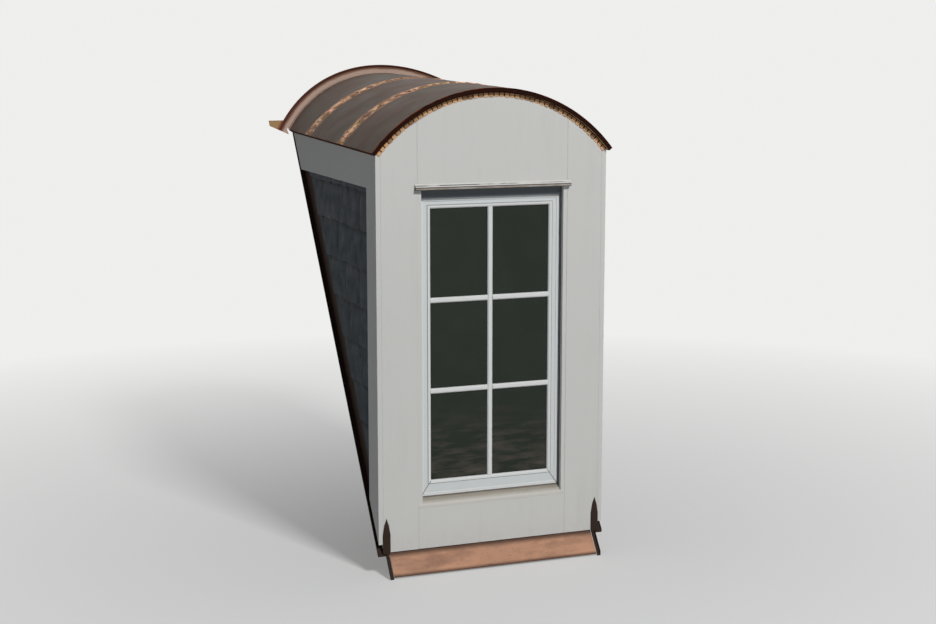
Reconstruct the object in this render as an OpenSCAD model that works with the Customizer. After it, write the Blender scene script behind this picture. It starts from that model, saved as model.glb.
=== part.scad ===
// Barrel-roofed dormer window that stands on a pitched main roof.
// X runs across the face, Y runs into the roof, Z is up. The main roof is the plane through the
// origin that rises along Y, and every underside lies on it. The origin is the middle of the
// underside of the front curb. Heights of the face are measured up from its visible bottom edge.

/* [Face] */
// Width of the face over both corner boards
face_w = 1100; // [900:10:1400]
// Height of the spring of the arch above the bottom of the face
spring_h = 1760; // [1600:10:2200]
// Rise of the arch from spring to crown
arch_rise = 275; // [200:5:400]
// Gap between the bottom edge of the boards and the main roof, square to the roof
board_clear = 10; // [2:1:15]
// Gap between the corner boards and the main roof, square to the roof
corner_clear = 34; // [10:1:50]
// Thickness of the painted boards
board_t = 22; // [15:1:30]
// Width of the corner board on the cheek
corner_board_w = 140; // [90:5:200]
// Drop of the frieze's lower edge on the cheek below the spring of the arch
frieze_drop = 122; // [90:2:250]

/* [Window opening] */
// Width of the opening between the front stiles
opening_w = 718; // [600:2:800]
// Height of the opening's bottom, at the nose of the sill
opening_bottom_h = 205; // [190:5:300]
// Drop of the opening's top below the spring of the arch
opening_drop = 128; // [110:2:260]
// How far the front boards lap over the window frame
frame_lap = 9; // [4:1:15]
// Thickness of the frame's jambs
jamb_t = 32; // [25:1:40]
// Height of the head of the window frame
frame_head_t = 48; // [40:1:80]
// Depth of the sash face behind the front boards
sash_recess = 38; // [30:1:50]
// Rise of the sill's wash from its nose to the sash
sill_rise = 30; // [15:1:45]
// Thickness of the sill's nose
sill_nose_t = 14; // [10:1:20]
// How far the drip over the window stands forward
head_drip_reach = 20; // [10:1:35]
// How far the drip over the window runs past the opening at each end
head_drip_end = 12; // [5:1:25]
// Height of the drip over the window at its front edge
head_drip_t = 14; // [5:1:20]

/* [Sash] */
// Thickness of the sash
sash_t = 38; // [30:1:45]
// Width of the sash stiles
sash_stile_w = 49; // [40:1:60]
// Height of the sash's bottom rail
sash_bottom_w = 70; // [50:1:90]
// Height of the sash's top rail
sash_top_w = 46; // [25:1:60]
// Thickness of the sealed glass unit
glass_t = 18; // [6:1:24]
// Depth of the groove that holds the glass
glass_groove = 8; // [4:1:12]
// Width of the bevel on the inner front edge of the sash
sash_bevel = 9; // [4:1:12]

/* [Framing] */
// Thickness of studs, plates and ribs
stud_t = 38; // [30:1:50]
// Width of studs and plates
stud_d = 89; // [70:1:140]
// Spacing of cheek studs and roof ribs, centre to centre
stud_pitch = 400; // [300:10:600]
// Thickness of the sheathing
sheathing_t = 12; // [9:1:18]
// Depth of the curved ribs, square to the arch
rib_d = 90; // [70:1:120]
// Shortest stud that is still built
shortest_stud = 60; // [40:5:100]
// Places of the short studs under the front rib, across the face
cripple_offset = 290; // [200:5:330]

/* [Roof] */
// Pitch of the main roof in degrees
roof_pitch = 52; // [45:0.5:58]
// Thickness of the curved deck boards
deck_t = 18; // [15:1:30]
// Rise of the barrel towards the main roof, in degrees
roof_rise = 1.2; // [0:0.1:3]
// How far the roof stands forward of the face
front_overhang = 18; // [15:1:45]
// How far the roof stands out past the corner boards at the eaves
eave_overhang = 21; // [12:1:35]

/* [Copper] */
// Thickness of the copper sheet, drawn heavy
copper_t = 2; // [1:0.25:3]
// Height of the snipped tabs on the face below the roof's edge
tab_h = 22; // [12:1:30]
// Pitch of the snips between the tabs
tab_pitch = 24; // [20:1:50]
// Width of each snip
snip_w = 5; // [1.5:0.5:9]
// Unsnipped band along the top of the tabs
tab_band = 5; // [3:1:8]
// Distance of the first cross seam behind the face
seam_one = 505; // [350:5:600]
// Distance of the second cross seam behind the face
seam_two = 1075; // [900:5:1150]
// Lap of one roof pan over the next
pan_lap = 28; // [15:1:50]
// Width of the rear flange on the main roof, measured out from the barrel
flange_w = 42; // [30:1:90]
// Width of the collar that turns up from the rear flange onto the barrel
collar_w = 16; // [12:1:45]
// Height of the raised hems on the outer edges of the rear flange and the side flashings
hem_h = 8; // [4:1:14]
// Reach of the ears of the rear flange past the eaves
ear_reach = 95; // [50:5:150]
// Height of the ears' top edge above the corner of the eave
ear_h = 44; // [30:1:110]
// Height of the ears at their tips
ear_tip_h = 26; // [10:1:60]
// Drop of the ears below the corner of the eave
ear_drop = 24; // [0:1:60]
// Height of the side flashing's upstand, square to the roof
upstand_h = 108; // [60:1:140]
// Width of the side flashing's leg on the main roof
flashing_leg = 26; // [20:1:60]
// Reach of the apron down the main roof, past the face
apron_reach = 105; // [80:5:200]
// Distance of the apron's ends in from the cheeks' sheathing
apron_gap = 30; // [24:1:60]
// Height of the apron's upstand behind the front boards, square to the roof
apron_upstand = 70; // [40:1:100]
// Reach of the narrow strips beside the apron, level and forward of the face
strip_reach = 70; // [40:1:90]
// Height of the strips' raised outer edge, square to the roof
strip_h = 12; // [8:1:40]
// Distance of the strips' outer edge in from the cheeks' sheathing
strip_inset = 13; // [4:1:20]
// Width of the pointed flaps that are folded onto the face above the strips
flap_w = 36; // [24:1:60]

/* [Cheek slates] */
// Exposed height of one course
slate_course = 177; // [120:1:250]
// Height of the first full course line above the bottom of the face
slate_first_h = 552; // [400:2:700]
// Thickness of the cladding at the butt of a course
slate_butt = 16; // [10:1:20]
// Thickness of the cladding at the head of a course
slate_head = 8; // [5:1:12]
// Gap between the slates' cut edge and the main roof, square to the roof
slate_clear = 122; // [80:1:160]

/* [Hidden] */

// Layers of the front wall, from the outside in
wall_front_y = -stud_d / 2;
wall_back_y = stud_d / 2;
sheathing_y = wall_front_y - sheathing_t;
face_y = sheathing_y - board_t;

// Layers of the cheeks, from the outside in
face_half = face_w / 2;
sheathing_x = face_half - board_t;
framing_x = sheathing_x - sheathing_t;
framing_inner_x = framing_x - stud_d;

// The main roof: its height at any depth, and vertical sizes of what is measured square to it
slope = tan(roof_pitch);
function roof_z(y) = y * slope;
function roof_y(z) = z / slope;
function upright(t) = t / cos(roof_pitch);
function level(t) = t / sin(roof_pitch);

// Heights above the bottom edge of the face
face_z = roof_z(face_y) + upright(board_clear);
function up(h) = face_z + h;

// The barrel rises a little to the rear: how much at any depth, and where a line that runs
// along it, and has height z at the face, comes out on the main roof
rise = tan(roof_rise);
function lift(y) = (y - face_y) * rise;
function comes_out(z) = (z - face_y * rise) / (slope - rise);

// The arch: a segment that springs from the corners of the face
arch_r = (face_half * face_half + arch_rise * arch_rise) / (2 * arch_rise);
arch_z = up(spring_h + arch_rise) - arch_r;
deck_in = arch_r + tab_h;
deck_out = deck_in + deck_t;
copper_out = deck_out + copper_t;
rib_in = deck_in - rib_d;
eave_half = asin((face_half + eave_overhang) / copper_out);
function arch_top(x, r) = arch_z + sqrt(r * r - x * x);

// Depths and reaches of the roof
roof_front_y = face_y - front_overhang;
crown_y = comes_out(arch_z + copper_out);
beyond = face_w + spring_h;
far_front = -beyond;
far_back = 2 * beyond;

// Lower edge of the friezes, and half the width of the apron
frieze_bottom = up(spring_h - frieze_drop);
apron_half = sheathing_x - apron_gap;

// Plates
plate_top = up(spring_h);
plate_bottom = plate_top - stud_t;
stud_last_y = roof_y(plate_bottom - upright(stud_t) - shortest_stud);
stud_ys = [for (y = [stud_pitch : stud_pitch : stud_last_y - stud_t / 2]) y];
rib_last_y = roof_y(plate_top) - level(stud_t) - stud_t / 2;
rib_ys = [for (y = [stud_pitch : stud_pitch : rib_last_y - copper_t]) y];

// Window
open_half = opening_w / 2;
open_bottom = up(opening_bottom_h);
open_top = up(spring_h - opening_drop);
frame_half = open_half + frame_lap;
frame_top = open_top + frame_lap;
sash_half = frame_half - jamb_t;
sash_front_y = face_y + sash_recess;
sash_back_y = sash_front_y + sash_t;
sash_bottom = open_bottom + sill_rise;
sash_top = frame_top - frame_head_t;
sill_under = open_bottom - sill_nose_t;
glass_half = sash_half - sash_stile_w;
glass_bottom = sash_bottom + sash_bottom_w;
glass_top = sash_top - sash_top_w;
glass_mid_y = sash_front_y + sash_t / 2;

// Seams of the roof pans
seam_ys = [face_y + seam_one, face_y + seam_two];

// Smoothness of true curves
arc_fn = 96;

// Colours
timber = [0.78, 0.66, 0.48];
plywood = [0.72, 0.60, 0.44];
painted = [0.88, 0.88, 0.86];
sash_white = [0.90, 0.93, 0.95];
slate = [0.24, 0.26, 0.31];
aged_copper = [0.38, 0.30, 0.25];
bright_copper = [0.74, 0.52, 0.40];
dark_glass = [0.15, 0.18, 0.16];

// A side view outline (depth, height) given a width from x0 to x1
module side_profile(x0, x1, outline) {
    translate([x0, 0, 0])
        rotate([90, 0, 90])
            linear_extrude(x1 - x0)
                polygon(outline);
}

// A front view shape given a depth from y0 to y1
module front_profile(y0, y1) {
    translate([0, y1, 0])
        rotate([90, 0, 0])
            linear_extrude(y1 - y0)
                children();
}

// A box between two corners
module block(low, high) {
    translate(low)
        cube(high - low);
}

// Tilts its children with the barrel, and ends them upright at two depths
module rising(y0, y1) {
    intersection() {
        translate([0, face_y, arch_z])
            rotate([roof_rise, 0, 0])
                translate([0, -face_y, -arch_z])
                    children();
        block([-2 * beyond, y0, -beyond], [2 * beyond, y1, 4 * beyond]);
    }
}

// Part of the barrel between two radii and two depths, half_angle to each side of the crown
module barrel(r0, r1, y0, y1, half_angle) {
    spare = r1 * rise + board_t;
    rising(y0, y1)
        translate([0, y1 + spare, arch_z])
            rotate([90, 0, 0])
                rotate([0, 0, 90 - half_angle])
                    rotate_extrude(angle = 2 * half_angle, $fn = arc_fn)
                        translate([r0, 0])
                            square([r1 - r0, y1 - y0 + 2 * spare]);
}

// Cuts its children on the main roof, or on a plane some distance above it
module cut_on_roof(clear = 0) {
    difference() {
        children();
        side_profile(-beyond, beyond, [
            [far_front, roof_z(far_front) + upright(clear)],
            [far_back, roof_z(far_back) + upright(clear)],
            [far_back, roof_z(far_front) - beyond],
            [far_front, roof_z(far_front) - beyond]
        ]);
    }
}

// A sheet of even thickness that lies on the main roof between two depths
module roof_sheet(x0, x1, y0, y1, t, base = 0) {
    side_profile(x0, x1, [
        [y0, roof_z(y0) + upright(base)],
        [y1, roof_z(y1) + upright(base)],
        [y1, roof_z(y1) + upright(base + t)],
        [y0, roof_z(y0) + upright(base + t)]
    ]);
}

// Cuts off what rises above a radius of the barrel
module under_arch(r) {
    difference() {
        children();
        barrel(r, r + beyond, far_front, far_back, 89);
    }
}

// Draws its children on one side of the dormer: 1 is the right, -1 is the left
module on_side(side) {
    if (side > 0) {
        children();
    } else {
        mirror([1, 0, 0])
            children();
    }
}

module front_curb() {
    color(timber)
        side_profile(-framing_x, framing_x, [
            [wall_front_y, roof_z(wall_front_y)],
            [wall_back_y, roof_z(wall_back_y)],
            [wall_back_y, sill_under],
            [wall_front_y, sill_under]
        ]);
}

module wall_stud(x0, x1, z1) {
    block([x0, wall_front_y, sill_under], [x1, wall_back_y, z1]);
}

module front_studs() {
    color(timber)
        for (side = [-1, 1])
            on_side(side) {
                wall_stud(frame_half, frame_half + stud_t, frame_top);
                wall_stud(framing_x - stud_t, framing_x, plate_bottom);
            }
}

module window_header() {
    header_half = frame_half + stud_t;
    color(timber)
        block([-header_half, wall_front_y, frame_top], [header_half, wall_back_y, plate_bottom]);
}

module front_top_plate() {
    color(timber)
        block([-framing_x, wall_front_y, plate_bottom], [framing_x, wall_back_y, plate_top]);
}

module front_cripples() {
    color(timber)
        under_arch(rib_in)
            for (x = [-cripple_offset, 0, cripple_offset])
                block([x - stud_t / 2, wall_front_y, plate_top],
                      [x + stud_t / 2, wall_front_y + stud_t, beyond]);
}

// One curved rib, sawn level where it stands on the plates
module rib(y0) {
    intersection() {
        barrel(rib_in, deck_in, y0, y0 + stud_t, 89);
        block([-framing_x, y0, plate_top], [framing_x, y0 + stud_t, beyond]);
    }
}

module front_rib() {
    color(timber)
        rib(wall_front_y);
}

module roof_ribs() {
    color(timber)
        for (y = rib_ys)
            rib(y - stud_t / 2);
}

module sole_plates() {
    rise = upright(stud_t);
    color(timber)
        for (side = [-1, 1])
            on_side(side)
                side_profile(framing_inner_x, framing_x, [
                    [wall_back_y, roof_z(wall_back_y)],
                    [roof_y(plate_bottom), plate_bottom],
                    [roof_y(plate_bottom - rise), plate_bottom],
                    [wall_back_y, roof_z(wall_back_y) + rise]
                ]);
}

module cheek_studs() {
    rise = upright(stud_t);
    color(timber)
        for (side = [-1, 1], y = stud_ys)
            on_side(side)
                side_profile(framing_inner_x, framing_x, [
                    [y - stud_t / 2, roof_z(y - stud_t / 2) + rise],
                    [y + stud_t / 2, roof_z(y + stud_t / 2) + rise],
                    [y + stud_t / 2, plate_bottom],
                    [y - stud_t / 2, plate_bottom]
                ]);
}

module cheek_top_plates() {
    color(timber)
        for (side = [-1, 1])
            on_side(side)
                side_profile(framing_inner_x, framing_x, [
                    [wall_back_y, plate_bottom],
                    [roof_y(plate_bottom), plate_bottom],
                    [roof_y(plate_top), plate_top],
                    [wall_back_y, plate_top]
                ]);
}

// The curved nailer that lies on the main roof and carries the rear end of the deck:
// where the barrel meets the pitch its outline is part of an ellipse
module valley_nailer() {
    color(timber)
        intersection() {
            barrel(rib_in, deck_in, wall_back_y, crown_y + beyond, 89);
            roof_sheet(-framing_x, framing_x, wall_back_y, crown_y + beyond, stud_t);
            block([-framing_x, wall_back_y, plate_top],
                  [framing_x, crown_y + beyond, 2 * beyond]);
        }
}

module roof_deck() {
    color(plywood)
        cut_on_roof()
            barrel(deck_in, deck_out, roof_front_y, crown_y + beyond, eave_half);
}

// A layer of the front wall between two places across it, from the main roof up to the deck
module front_layer(x0, x1, y0, y1, z0, z1, clear = 0) {
    cut_on_roof(clear)
        under_arch(deck_in)
            block([x0, y0, z0], [x1, y1, z1]);
}

wall_low = roof_z(face_y) - board_t;
wall_high = arch_z + deck_in + board_t;

module front_sheathing_sides() {
    color(plywood)
        for (side = [-1, 1])
            on_side(side)
                front_layer(frame_half, sheathing_x, sheathing_y, wall_front_y, wall_low, wall_high);
}

module front_sheathing_infill() {
    color(plywood) {
        front_layer(-frame_half, frame_half, sheathing_y, wall_front_y, frame_top, wall_high);
        front_layer(-frame_half, frame_half, sheathing_y, wall_front_y, wall_low, sill_under);
    }
}

module cheek_sheathing(side) {
    color(plywood)
        on_side(side)
            cut_on_roof()
                under_arch(deck_in)
                    block([framing_x, wall_front_y, wall_low],
                          [sheathing_x, roof_y(wall_high), wall_high]);
}

// The apron's upstand runs behind the front boards, which are rebated over it
module apron_upstand_sheet() {
    roof_sheet(-apron_half, apron_half, sheathing_y - copper_t, sheathing_y, apron_upstand);
}

module front_stile(side) {
    color(painted)
        difference() {
            on_side(side)
                front_layer(open_half, sheathing_x, face_y, sheathing_y, wall_low, wall_high,
                            board_clear);
            apron_upstand_sheet();
        }
}

module front_head_panel() {
    color(painted)
        front_layer(-open_half, open_half, face_y, sheathing_y, open_top, wall_high);
}

module front_bottom_rail() {
    color(painted)
        difference() {
            front_layer(-open_half, open_half, face_y, sheathing_y, wall_low, sill_under,
                        board_clear);
            apron_upstand_sheet();
        }
}

// The side flashing's upstand, against the cheek's sheathing
module side_upstand() {
    rear_y = comes_out(arch_top(sheathing_x + copper_t, deck_in));
    rear_top = roof_z(rear_y) - 2 * rise * level(upstand_h);
    side_profile(sheathing_x, sheathing_x + copper_t, [
        [sheathing_y, roof_z(sheathing_y)],
        [roof_y(rear_top), rear_top],
        [roof_y(rear_top) - level(upstand_h), rear_top],
        [sheathing_y, roof_z(sheathing_y) + upright(upstand_h)]
    ]);
}

module corner_board(side) {
    color(painted)
        on_side(side)
            difference() {
                cut_on_roof(corner_clear)
                    under_arch(deck_in)
                        block([sheathing_x, face_y, wall_low],
                              [face_half, face_y + corner_board_w, wall_high]);
                side_upstand();
            }
}

module frieze(side) {
    color(painted)
        on_side(side)
            difference() {
                cut_on_roof(board_clear)
                    under_arch(deck_in)
                        block([sheathing_x, face_y + corner_board_w, frieze_bottom],
                              [face_half, roof_y(wall_high), wall_high]);
                side_upstand();
            }
}

// Lapped courses of slate: each course is thin at its head and stands out at its butt
module cheek_slates(side) {
    course_hs = [for (h = [slate_first_h : -slate_course : 0]) h];
    lowest_h = min(course_hs) - slate_course;
    courses = ceil((frieze_bottom - up(lowest_h)) / slate_course);
    laps = [for (i = [0 : courses - 1]) each [
        [slate_butt, lowest_h + i * slate_course],
        [slate_head, lowest_h + (i + 1) * slate_course]
    ]];
    outline = concat(
        [[0, lowest_h]],
        laps,
        [[0, lowest_h + courses * slate_course]]
    );
    color(slate)
        on_side(side)
            difference() {
                intersection() {
                    cut_on_roof(slate_clear)
                        front_profile(face_y + corner_board_w, roof_y(wall_high))
                            translate([sheathing_x, face_z])
                                polygon(outline);
                    block([sheathing_x, face_y, wall_low],
                          [face_half + slate_butt, roof_y(wall_high), frieze_bottom]);
                }
                side_upstand();
            }
}

module sill_solid() {
    side_profile(-frame_half, frame_half, [
        [face_y, sill_under],
        [wall_back_y, sill_under],
        [wall_back_y, sash_bottom],
        [sash_front_y, sash_bottom],
        [face_y, open_bottom]
    ]);
}

module frame_sill() {
    color(sash_white)
        difference() {
            sill_solid();
            for (side = [-1, 1])
                on_side(side)
                    block([open_half, face_y - board_t, sill_under - board_t],
                          [frame_half + board_t, sheathing_y, open_top]);
        }
}

module frame_jamb(side) {
    color(sash_white)
        difference() {
            on_side(side)
                block([sash_half, sheathing_y, open_bottom], [frame_half, wall_back_y, sash_top]);
            sill_solid();
        }
}

module frame_head() {
    color(sash_white)
        block([-frame_half, sheathing_y, sash_top], [frame_half, wall_back_y, frame_top]);
}

module glass_unit() {
    block([-glass_half - glass_groove, glass_mid_y - glass_t / 2, glass_bottom - glass_groove],
          [glass_half + glass_groove, glass_mid_y + glass_t / 2, glass_top + glass_groove]);
}

module window_glass() {
    color(dark_glass, 0.6)
        glass_unit();
}

// Corners of the sash in front view: sill, head, and the same two at the glass
sash_outer_low = [sash_half, sash_bottom];
sash_outer_high = [sash_half, sash_top];
sash_inner_low = [glass_half, glass_bottom];
sash_inner_high = [glass_half, glass_top];
function flipped(p) = [-p[0], p[1]];

// One mitred member of the sash, with its groove for the glass and its bevelled front edge
module sash_member(outline) {
    difference() {
        front_profile(sash_front_y, sash_back_y)
            polygon(outline);
        glass_unit();
        sash_bevels();
    }
}

// A bevel along each inner front edge of the sash
module sash_bevels() {
    wide = glass_half + sash_bevel;
    front = [sash_front_y, sash_bevel];
    for (side = [-1, 1])
        on_side(side)
            translate([glass_half, sash_front_y, glass_bottom - sash_bevel])
                linear_extrude(glass_top - glass_bottom + 2 * sash_bevel)
                    polygon([[-1, -1], [sash_bevel, -1], [sash_bevel, 0], [0, sash_bevel], [-1, sash_bevel]]);
    side_profile(-wide, wide, [
        [front[0] - 1, glass_bottom - front[1]],
        [front[0], glass_bottom - front[1]],
        [front[0] + front[1], glass_bottom],
        [front[0] + front[1], glass_bottom + 1],
        [front[0] - 1, glass_bottom + 1]
    ]);
    side_profile(-wide, wide, [
        [front[0] - 1, glass_top + front[1]],
        [front[0], glass_top + front[1]],
        [front[0] + front[1], glass_top],
        [front[0] + front[1], glass_top - 1],
        [front[0] - 1, glass_top - 1]
    ]);
}

module sash_stile(side) {
    color(sash_white)
        on_side(side)
            sash_member([sash_outer_low, sash_outer_high, sash_inner_high, sash_inner_low]);
}

module sash_bottom_rail() {
    color(sash_white)
        sash_member([sash_outer_low, sash_inner_low, flipped(sash_inner_low),
                     flipped(sash_outer_low)]);
}

module sash_top_rail() {
    color(sash_white)
        sash_member([sash_outer_high, sash_inner_high, flipped(sash_inner_high),
                     flipped(sash_outer_high)]);
}

module head_drip() {
    half = open_half + head_drip_end;
    color(painted)
        side_profile(-half, half, [
            [face_y, open_top],
            [face_y, open_top + 2 * head_drip_t],
            [face_y - head_drip_reach, open_top + head_drip_t],
            [face_y - head_drip_reach, open_top]
        ]);
}

// One roof pan from y0 to y1; lap is how far its front edge rides over the pan before it
module copper_pan(y0, y1, lap = 0) {
    color(aged_copper)
        cut_on_roof(copper_t) {
            barrel(deck_out, copper_out, y0, y1, eave_half);
            if (lap > 0) {
                barrel(copper_out, copper_out + copper_t, y0 - lap, y0 + copper_t, eave_half);
            }
        }
}

module copper_pan_front() {
    copper_pan(roof_front_y, seam_ys[0]);
}

module copper_pan_middle() {
    copper_pan(seam_ys[0], seam_ys[1], pan_lap);
}

module copper_pan_rear() {
    copper_pan(seam_ys[1], crown_y + beyond, pan_lap);
}

module arch_drip_edge() {
    color(aged_copper)
        barrel(deck_in, copper_out, roof_front_y - copper_t, roof_front_y, eave_half);
}

// A strip on the face under the roof's edge, snipped so that it can follow the curve
module arch_tabs() {
    tab_half = asin(face_half / deck_in);
    snips = floor(2 * tab_half * PI / 180 * arch_r / tab_pitch);
    step = 2 * tab_half / snips;
    color(bright_copper)
        difference() {
            barrel(arch_r, deck_in, face_y - copper_t, face_y, tab_half);
            for (i = [1 : snips - 1])
                translate([0, face_y, arch_z])
                    rotate([0, -tab_half + i * step, 0])
                        block([-snip_w / 2, -2 * copper_t, arch_r - tab_band],
                              [snip_w / 2, copper_t, deck_in - tab_band]);
        }
}

module eave_drips() {
    color(aged_copper)
        for (side = [-1, 1])
            on_side(side)
                cut_on_roof(copper_t)
                    rising(roof_front_y - copper_t, crown_y)
                        translate([0, 0, arch_z])
                            rotate([0, eave_half, 0])
                                block([0, far_front, deck_in], [copper_t, far_back, copper_out]);
}

// The front end of a side flashing: a channel beside the apron, turned up into a fin at its edge
module flashing_flap() {
    strip_x = sheathing_x - strip_inset + copper_t;
    middle_x = strip_x - 2 * copper_t;
    wide = flap_w / 2;
    foot_z = roof_z(face_y) + copper_t / 8;
    neck_z = foot_z + 3 * copper_t;
    point_z = roof_z(face_y) + upright(upstand_h);
    front_profile(face_y - copper_t, face_y)
        polygon([
            [apron_half + copper_t, foot_z],
            [strip_x, foot_z],
            [strip_x, neck_z],
            [middle_x + wide, face_z],
            [middle_x + wide, point_z - 0.7 * upstand_h],
            [middle_x + 0.6 * wide, point_z - 0.3 * upstand_h],
            [middle_x, point_z],
            [middle_x - 0.6 * wide, point_z - 0.3 * upstand_h],
            [middle_x - wide, point_z - 0.7 * upstand_h],
            [middle_x - wide, face_z],
            [apron_half + copper_t, neck_z]
        ]);
}

module apron_strip() {
    strip_x = sheathing_x - strip_inset + copper_t;
    low_y = face_y - strip_reach;
    roof_sheet(apron_half + copper_t, strip_x, low_y, sheathing_y, copper_t);
    roof_sheet(strip_x - copper_t, strip_x, low_y, face_y, strip_h);
}

module side_flashing(side) {
    rear_y = comes_out(arch_z + deck_in * cos(eave_half) - 2 * upright(copper_t));
    leg_x = sheathing_x + flashing_leg;
    color(aged_copper)
        on_side(side) {
            side_upstand();
            flashing_flap();
            apron_strip();
            roof_sheet(sheathing_x - strip_inset, leg_x, face_y, sheathing_y, copper_t);
            roof_sheet(sheathing_x, leg_x, sheathing_y, rear_y, copper_t);
            roof_sheet(leg_x - copper_t, leg_x, face_y, rear_y - level(upstand_h), hem_h);
        }
}

// The flange behind the barrel, drawn in front view and laid on the main roof
flange_r = copper_out + flange_w;
eave_corner = [copper_out * sin(eave_half), copper_out * cos(eave_half)];
ear_top = eave_corner[1] + ear_h;
ear_root = sqrt(flange_r * flange_r - ear_top * ear_top);

module flange_outline() {
    translate([0, arch_z]) {
        intersection() {
            difference() {
                circle(r = flange_r, $fn = arc_fn);
                circle(r = copper_out + copper_t / 2, $fn = arc_fn);
            }
            polygon([
                [0, 0],
                [-eave_corner[0], eave_corner[1]] * 2,
                [0, 4 * flange_r],
                eave_corner * 2
            ]);
        }
        for (side = [-1, 1])
            on_side(side)
                polygon([
                    eave_corner + [2 * copper_t, -ear_drop],
                    eave_corner + [ear_reach, ear_h - ear_tip_h],
                    eave_corner + [ear_reach, ear_h],
                    [ear_root - 2 * copper_t, ear_top]
                ]);
    }
}

module rear_flange() {
    back_y = crown_y + beyond;
    color(bright_copper) {
        intersection() {
            rising(wall_back_y, back_y)
                front_profile(0, 2 * back_y)
                    flange_outline();
            roof_sheet(-beyond, beyond, wall_back_y, back_y, copper_t);
        }
        intersection() {
            barrel(flange_r - 2 * copper_t, flange_r - copper_t, wall_back_y, back_y,
                   acos(ear_top / flange_r));
            roof_sheet(-beyond, beyond, wall_back_y, back_y, hem_h);
        }
        intersection() {
            barrel(copper_out, copper_out + copper_t, wall_back_y, back_y, eave_half - 0.5);
            roof_sheet(-beyond, beyond, wall_back_y, back_y, collar_w);
        }
    }
}

module apron() {
    low_y = face_y - apron_reach * cos(roof_pitch);
    color(bright_copper) {
        roof_sheet(-apron_half, apron_half, low_y, sheathing_y, copper_t);
        apron_upstand_sheet();
    }
}

front_curb();
front_studs();
window_header();
front_top_plate();
front_cripples();
front_rib();
sole_plates();
cheek_studs();
cheek_top_plates();
roof_ribs();
valley_nailer();
roof_deck();
front_sheathing_sides();
front_sheathing_infill();
cheek_sheathing(-1);  // cheek_sheathing_left
cheek_sheathing(1);  // cheek_sheathing_right
front_stile(-1);  // front_stile_left
front_stile(1);  // front_stile_right
front_head_panel();
front_bottom_rail();
corner_board(-1);  // corner_board_left
corner_board(1);  // corner_board_right
frieze(-1);  // frieze_left
frieze(1);  // frieze_right
cheek_slates(-1);  // cheek_slates_left
cheek_slates(1);  // cheek_slates_right
frame_head();
frame_jamb(-1);  // frame_jamb_left
frame_jamb(1);  // frame_jamb_right
frame_sill();
sash_stile(-1);  // sash_stile_left
sash_stile(1);  // sash_stile_right
sash_top_rail();
sash_bottom_rail();
window_glass();
head_drip();
copper_pan_front();
copper_pan_middle();
copper_pan_rear();
arch_drip_edge();
arch_tabs();
eave_drips();
side_flashing(-1);  // side_flashing_left
side_flashing(1);  // side_flashing_right
rear_flange();
apron();
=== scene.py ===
import math
import random
from contextlib import contextmanager

import bmesh
import bpy
from mathutils import Matrix, Vector


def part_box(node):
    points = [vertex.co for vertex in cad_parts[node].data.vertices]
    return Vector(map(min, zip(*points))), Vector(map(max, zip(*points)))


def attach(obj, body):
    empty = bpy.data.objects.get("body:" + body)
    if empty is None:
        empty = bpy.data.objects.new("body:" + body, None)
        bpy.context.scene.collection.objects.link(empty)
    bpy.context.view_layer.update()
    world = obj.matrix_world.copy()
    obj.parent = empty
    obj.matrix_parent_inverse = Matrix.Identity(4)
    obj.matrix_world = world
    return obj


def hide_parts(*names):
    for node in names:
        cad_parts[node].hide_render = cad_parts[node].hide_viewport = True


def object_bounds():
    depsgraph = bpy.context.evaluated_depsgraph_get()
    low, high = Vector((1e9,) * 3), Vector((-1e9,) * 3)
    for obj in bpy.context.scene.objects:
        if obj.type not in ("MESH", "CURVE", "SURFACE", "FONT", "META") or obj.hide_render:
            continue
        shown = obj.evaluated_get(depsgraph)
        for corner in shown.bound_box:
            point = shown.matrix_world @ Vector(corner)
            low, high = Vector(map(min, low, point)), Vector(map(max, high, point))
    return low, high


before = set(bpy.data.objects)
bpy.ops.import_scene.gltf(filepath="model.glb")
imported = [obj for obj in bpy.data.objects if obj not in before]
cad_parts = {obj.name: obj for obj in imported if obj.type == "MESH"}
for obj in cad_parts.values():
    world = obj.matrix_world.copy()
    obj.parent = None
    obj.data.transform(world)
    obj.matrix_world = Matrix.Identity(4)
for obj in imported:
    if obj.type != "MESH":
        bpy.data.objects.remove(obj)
cad_low, cad_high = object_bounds()

bl_info = {
    "name": "Dormer window",
    "version": (1, 0, 0),
    "blender": (4, 5, 0),
    "location": "3D View > Sidebar > Dormer",
    "description": "Dresses the barrel-roofed dormer: boards, sash, copper, slates and timber",
    "category": "Add Mesh",
}

# Places read from the frame, in metres
STILE_LOW, STILE_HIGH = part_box("front_stile_right")
FACE_Y = STILE_LOW.y
BOARD_BACK_Y = STILE_HIGH.y
FACE_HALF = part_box("corner_board_right")[1].x
SHEATHING_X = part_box("cheek_sheathing_right")[1].x
CORNER_BACK_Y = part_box("corner_board_right")[1].y
FRIEZE_LOW_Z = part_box("frieze_right")[0].z
OPENING_HALF = STILE_LOW.x
OPENING_TOP_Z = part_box("front_head_panel")[0].z
SASH_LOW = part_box("sash_stile_left")[0]
SASH_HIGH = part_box("sash_stile_right")[1]
GLASS_LOW_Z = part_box("sash_bottom_rail")[1].z
GLASS_HIGH_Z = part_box("sash_top_rail")[0].z
GLASS_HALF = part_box("sash_stile_right")[0].x
PANE_LOW, PANE_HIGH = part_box("window_glass")
SILL_NOSE_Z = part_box("front_bottom_rail")[1].z
SILL_HIGH_Z = SASH_LOW.z
WASH = math.atan2(SILL_HIGH_Z - SILL_NOSE_Z, SASH_LOW.y - FACE_Y)

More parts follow.
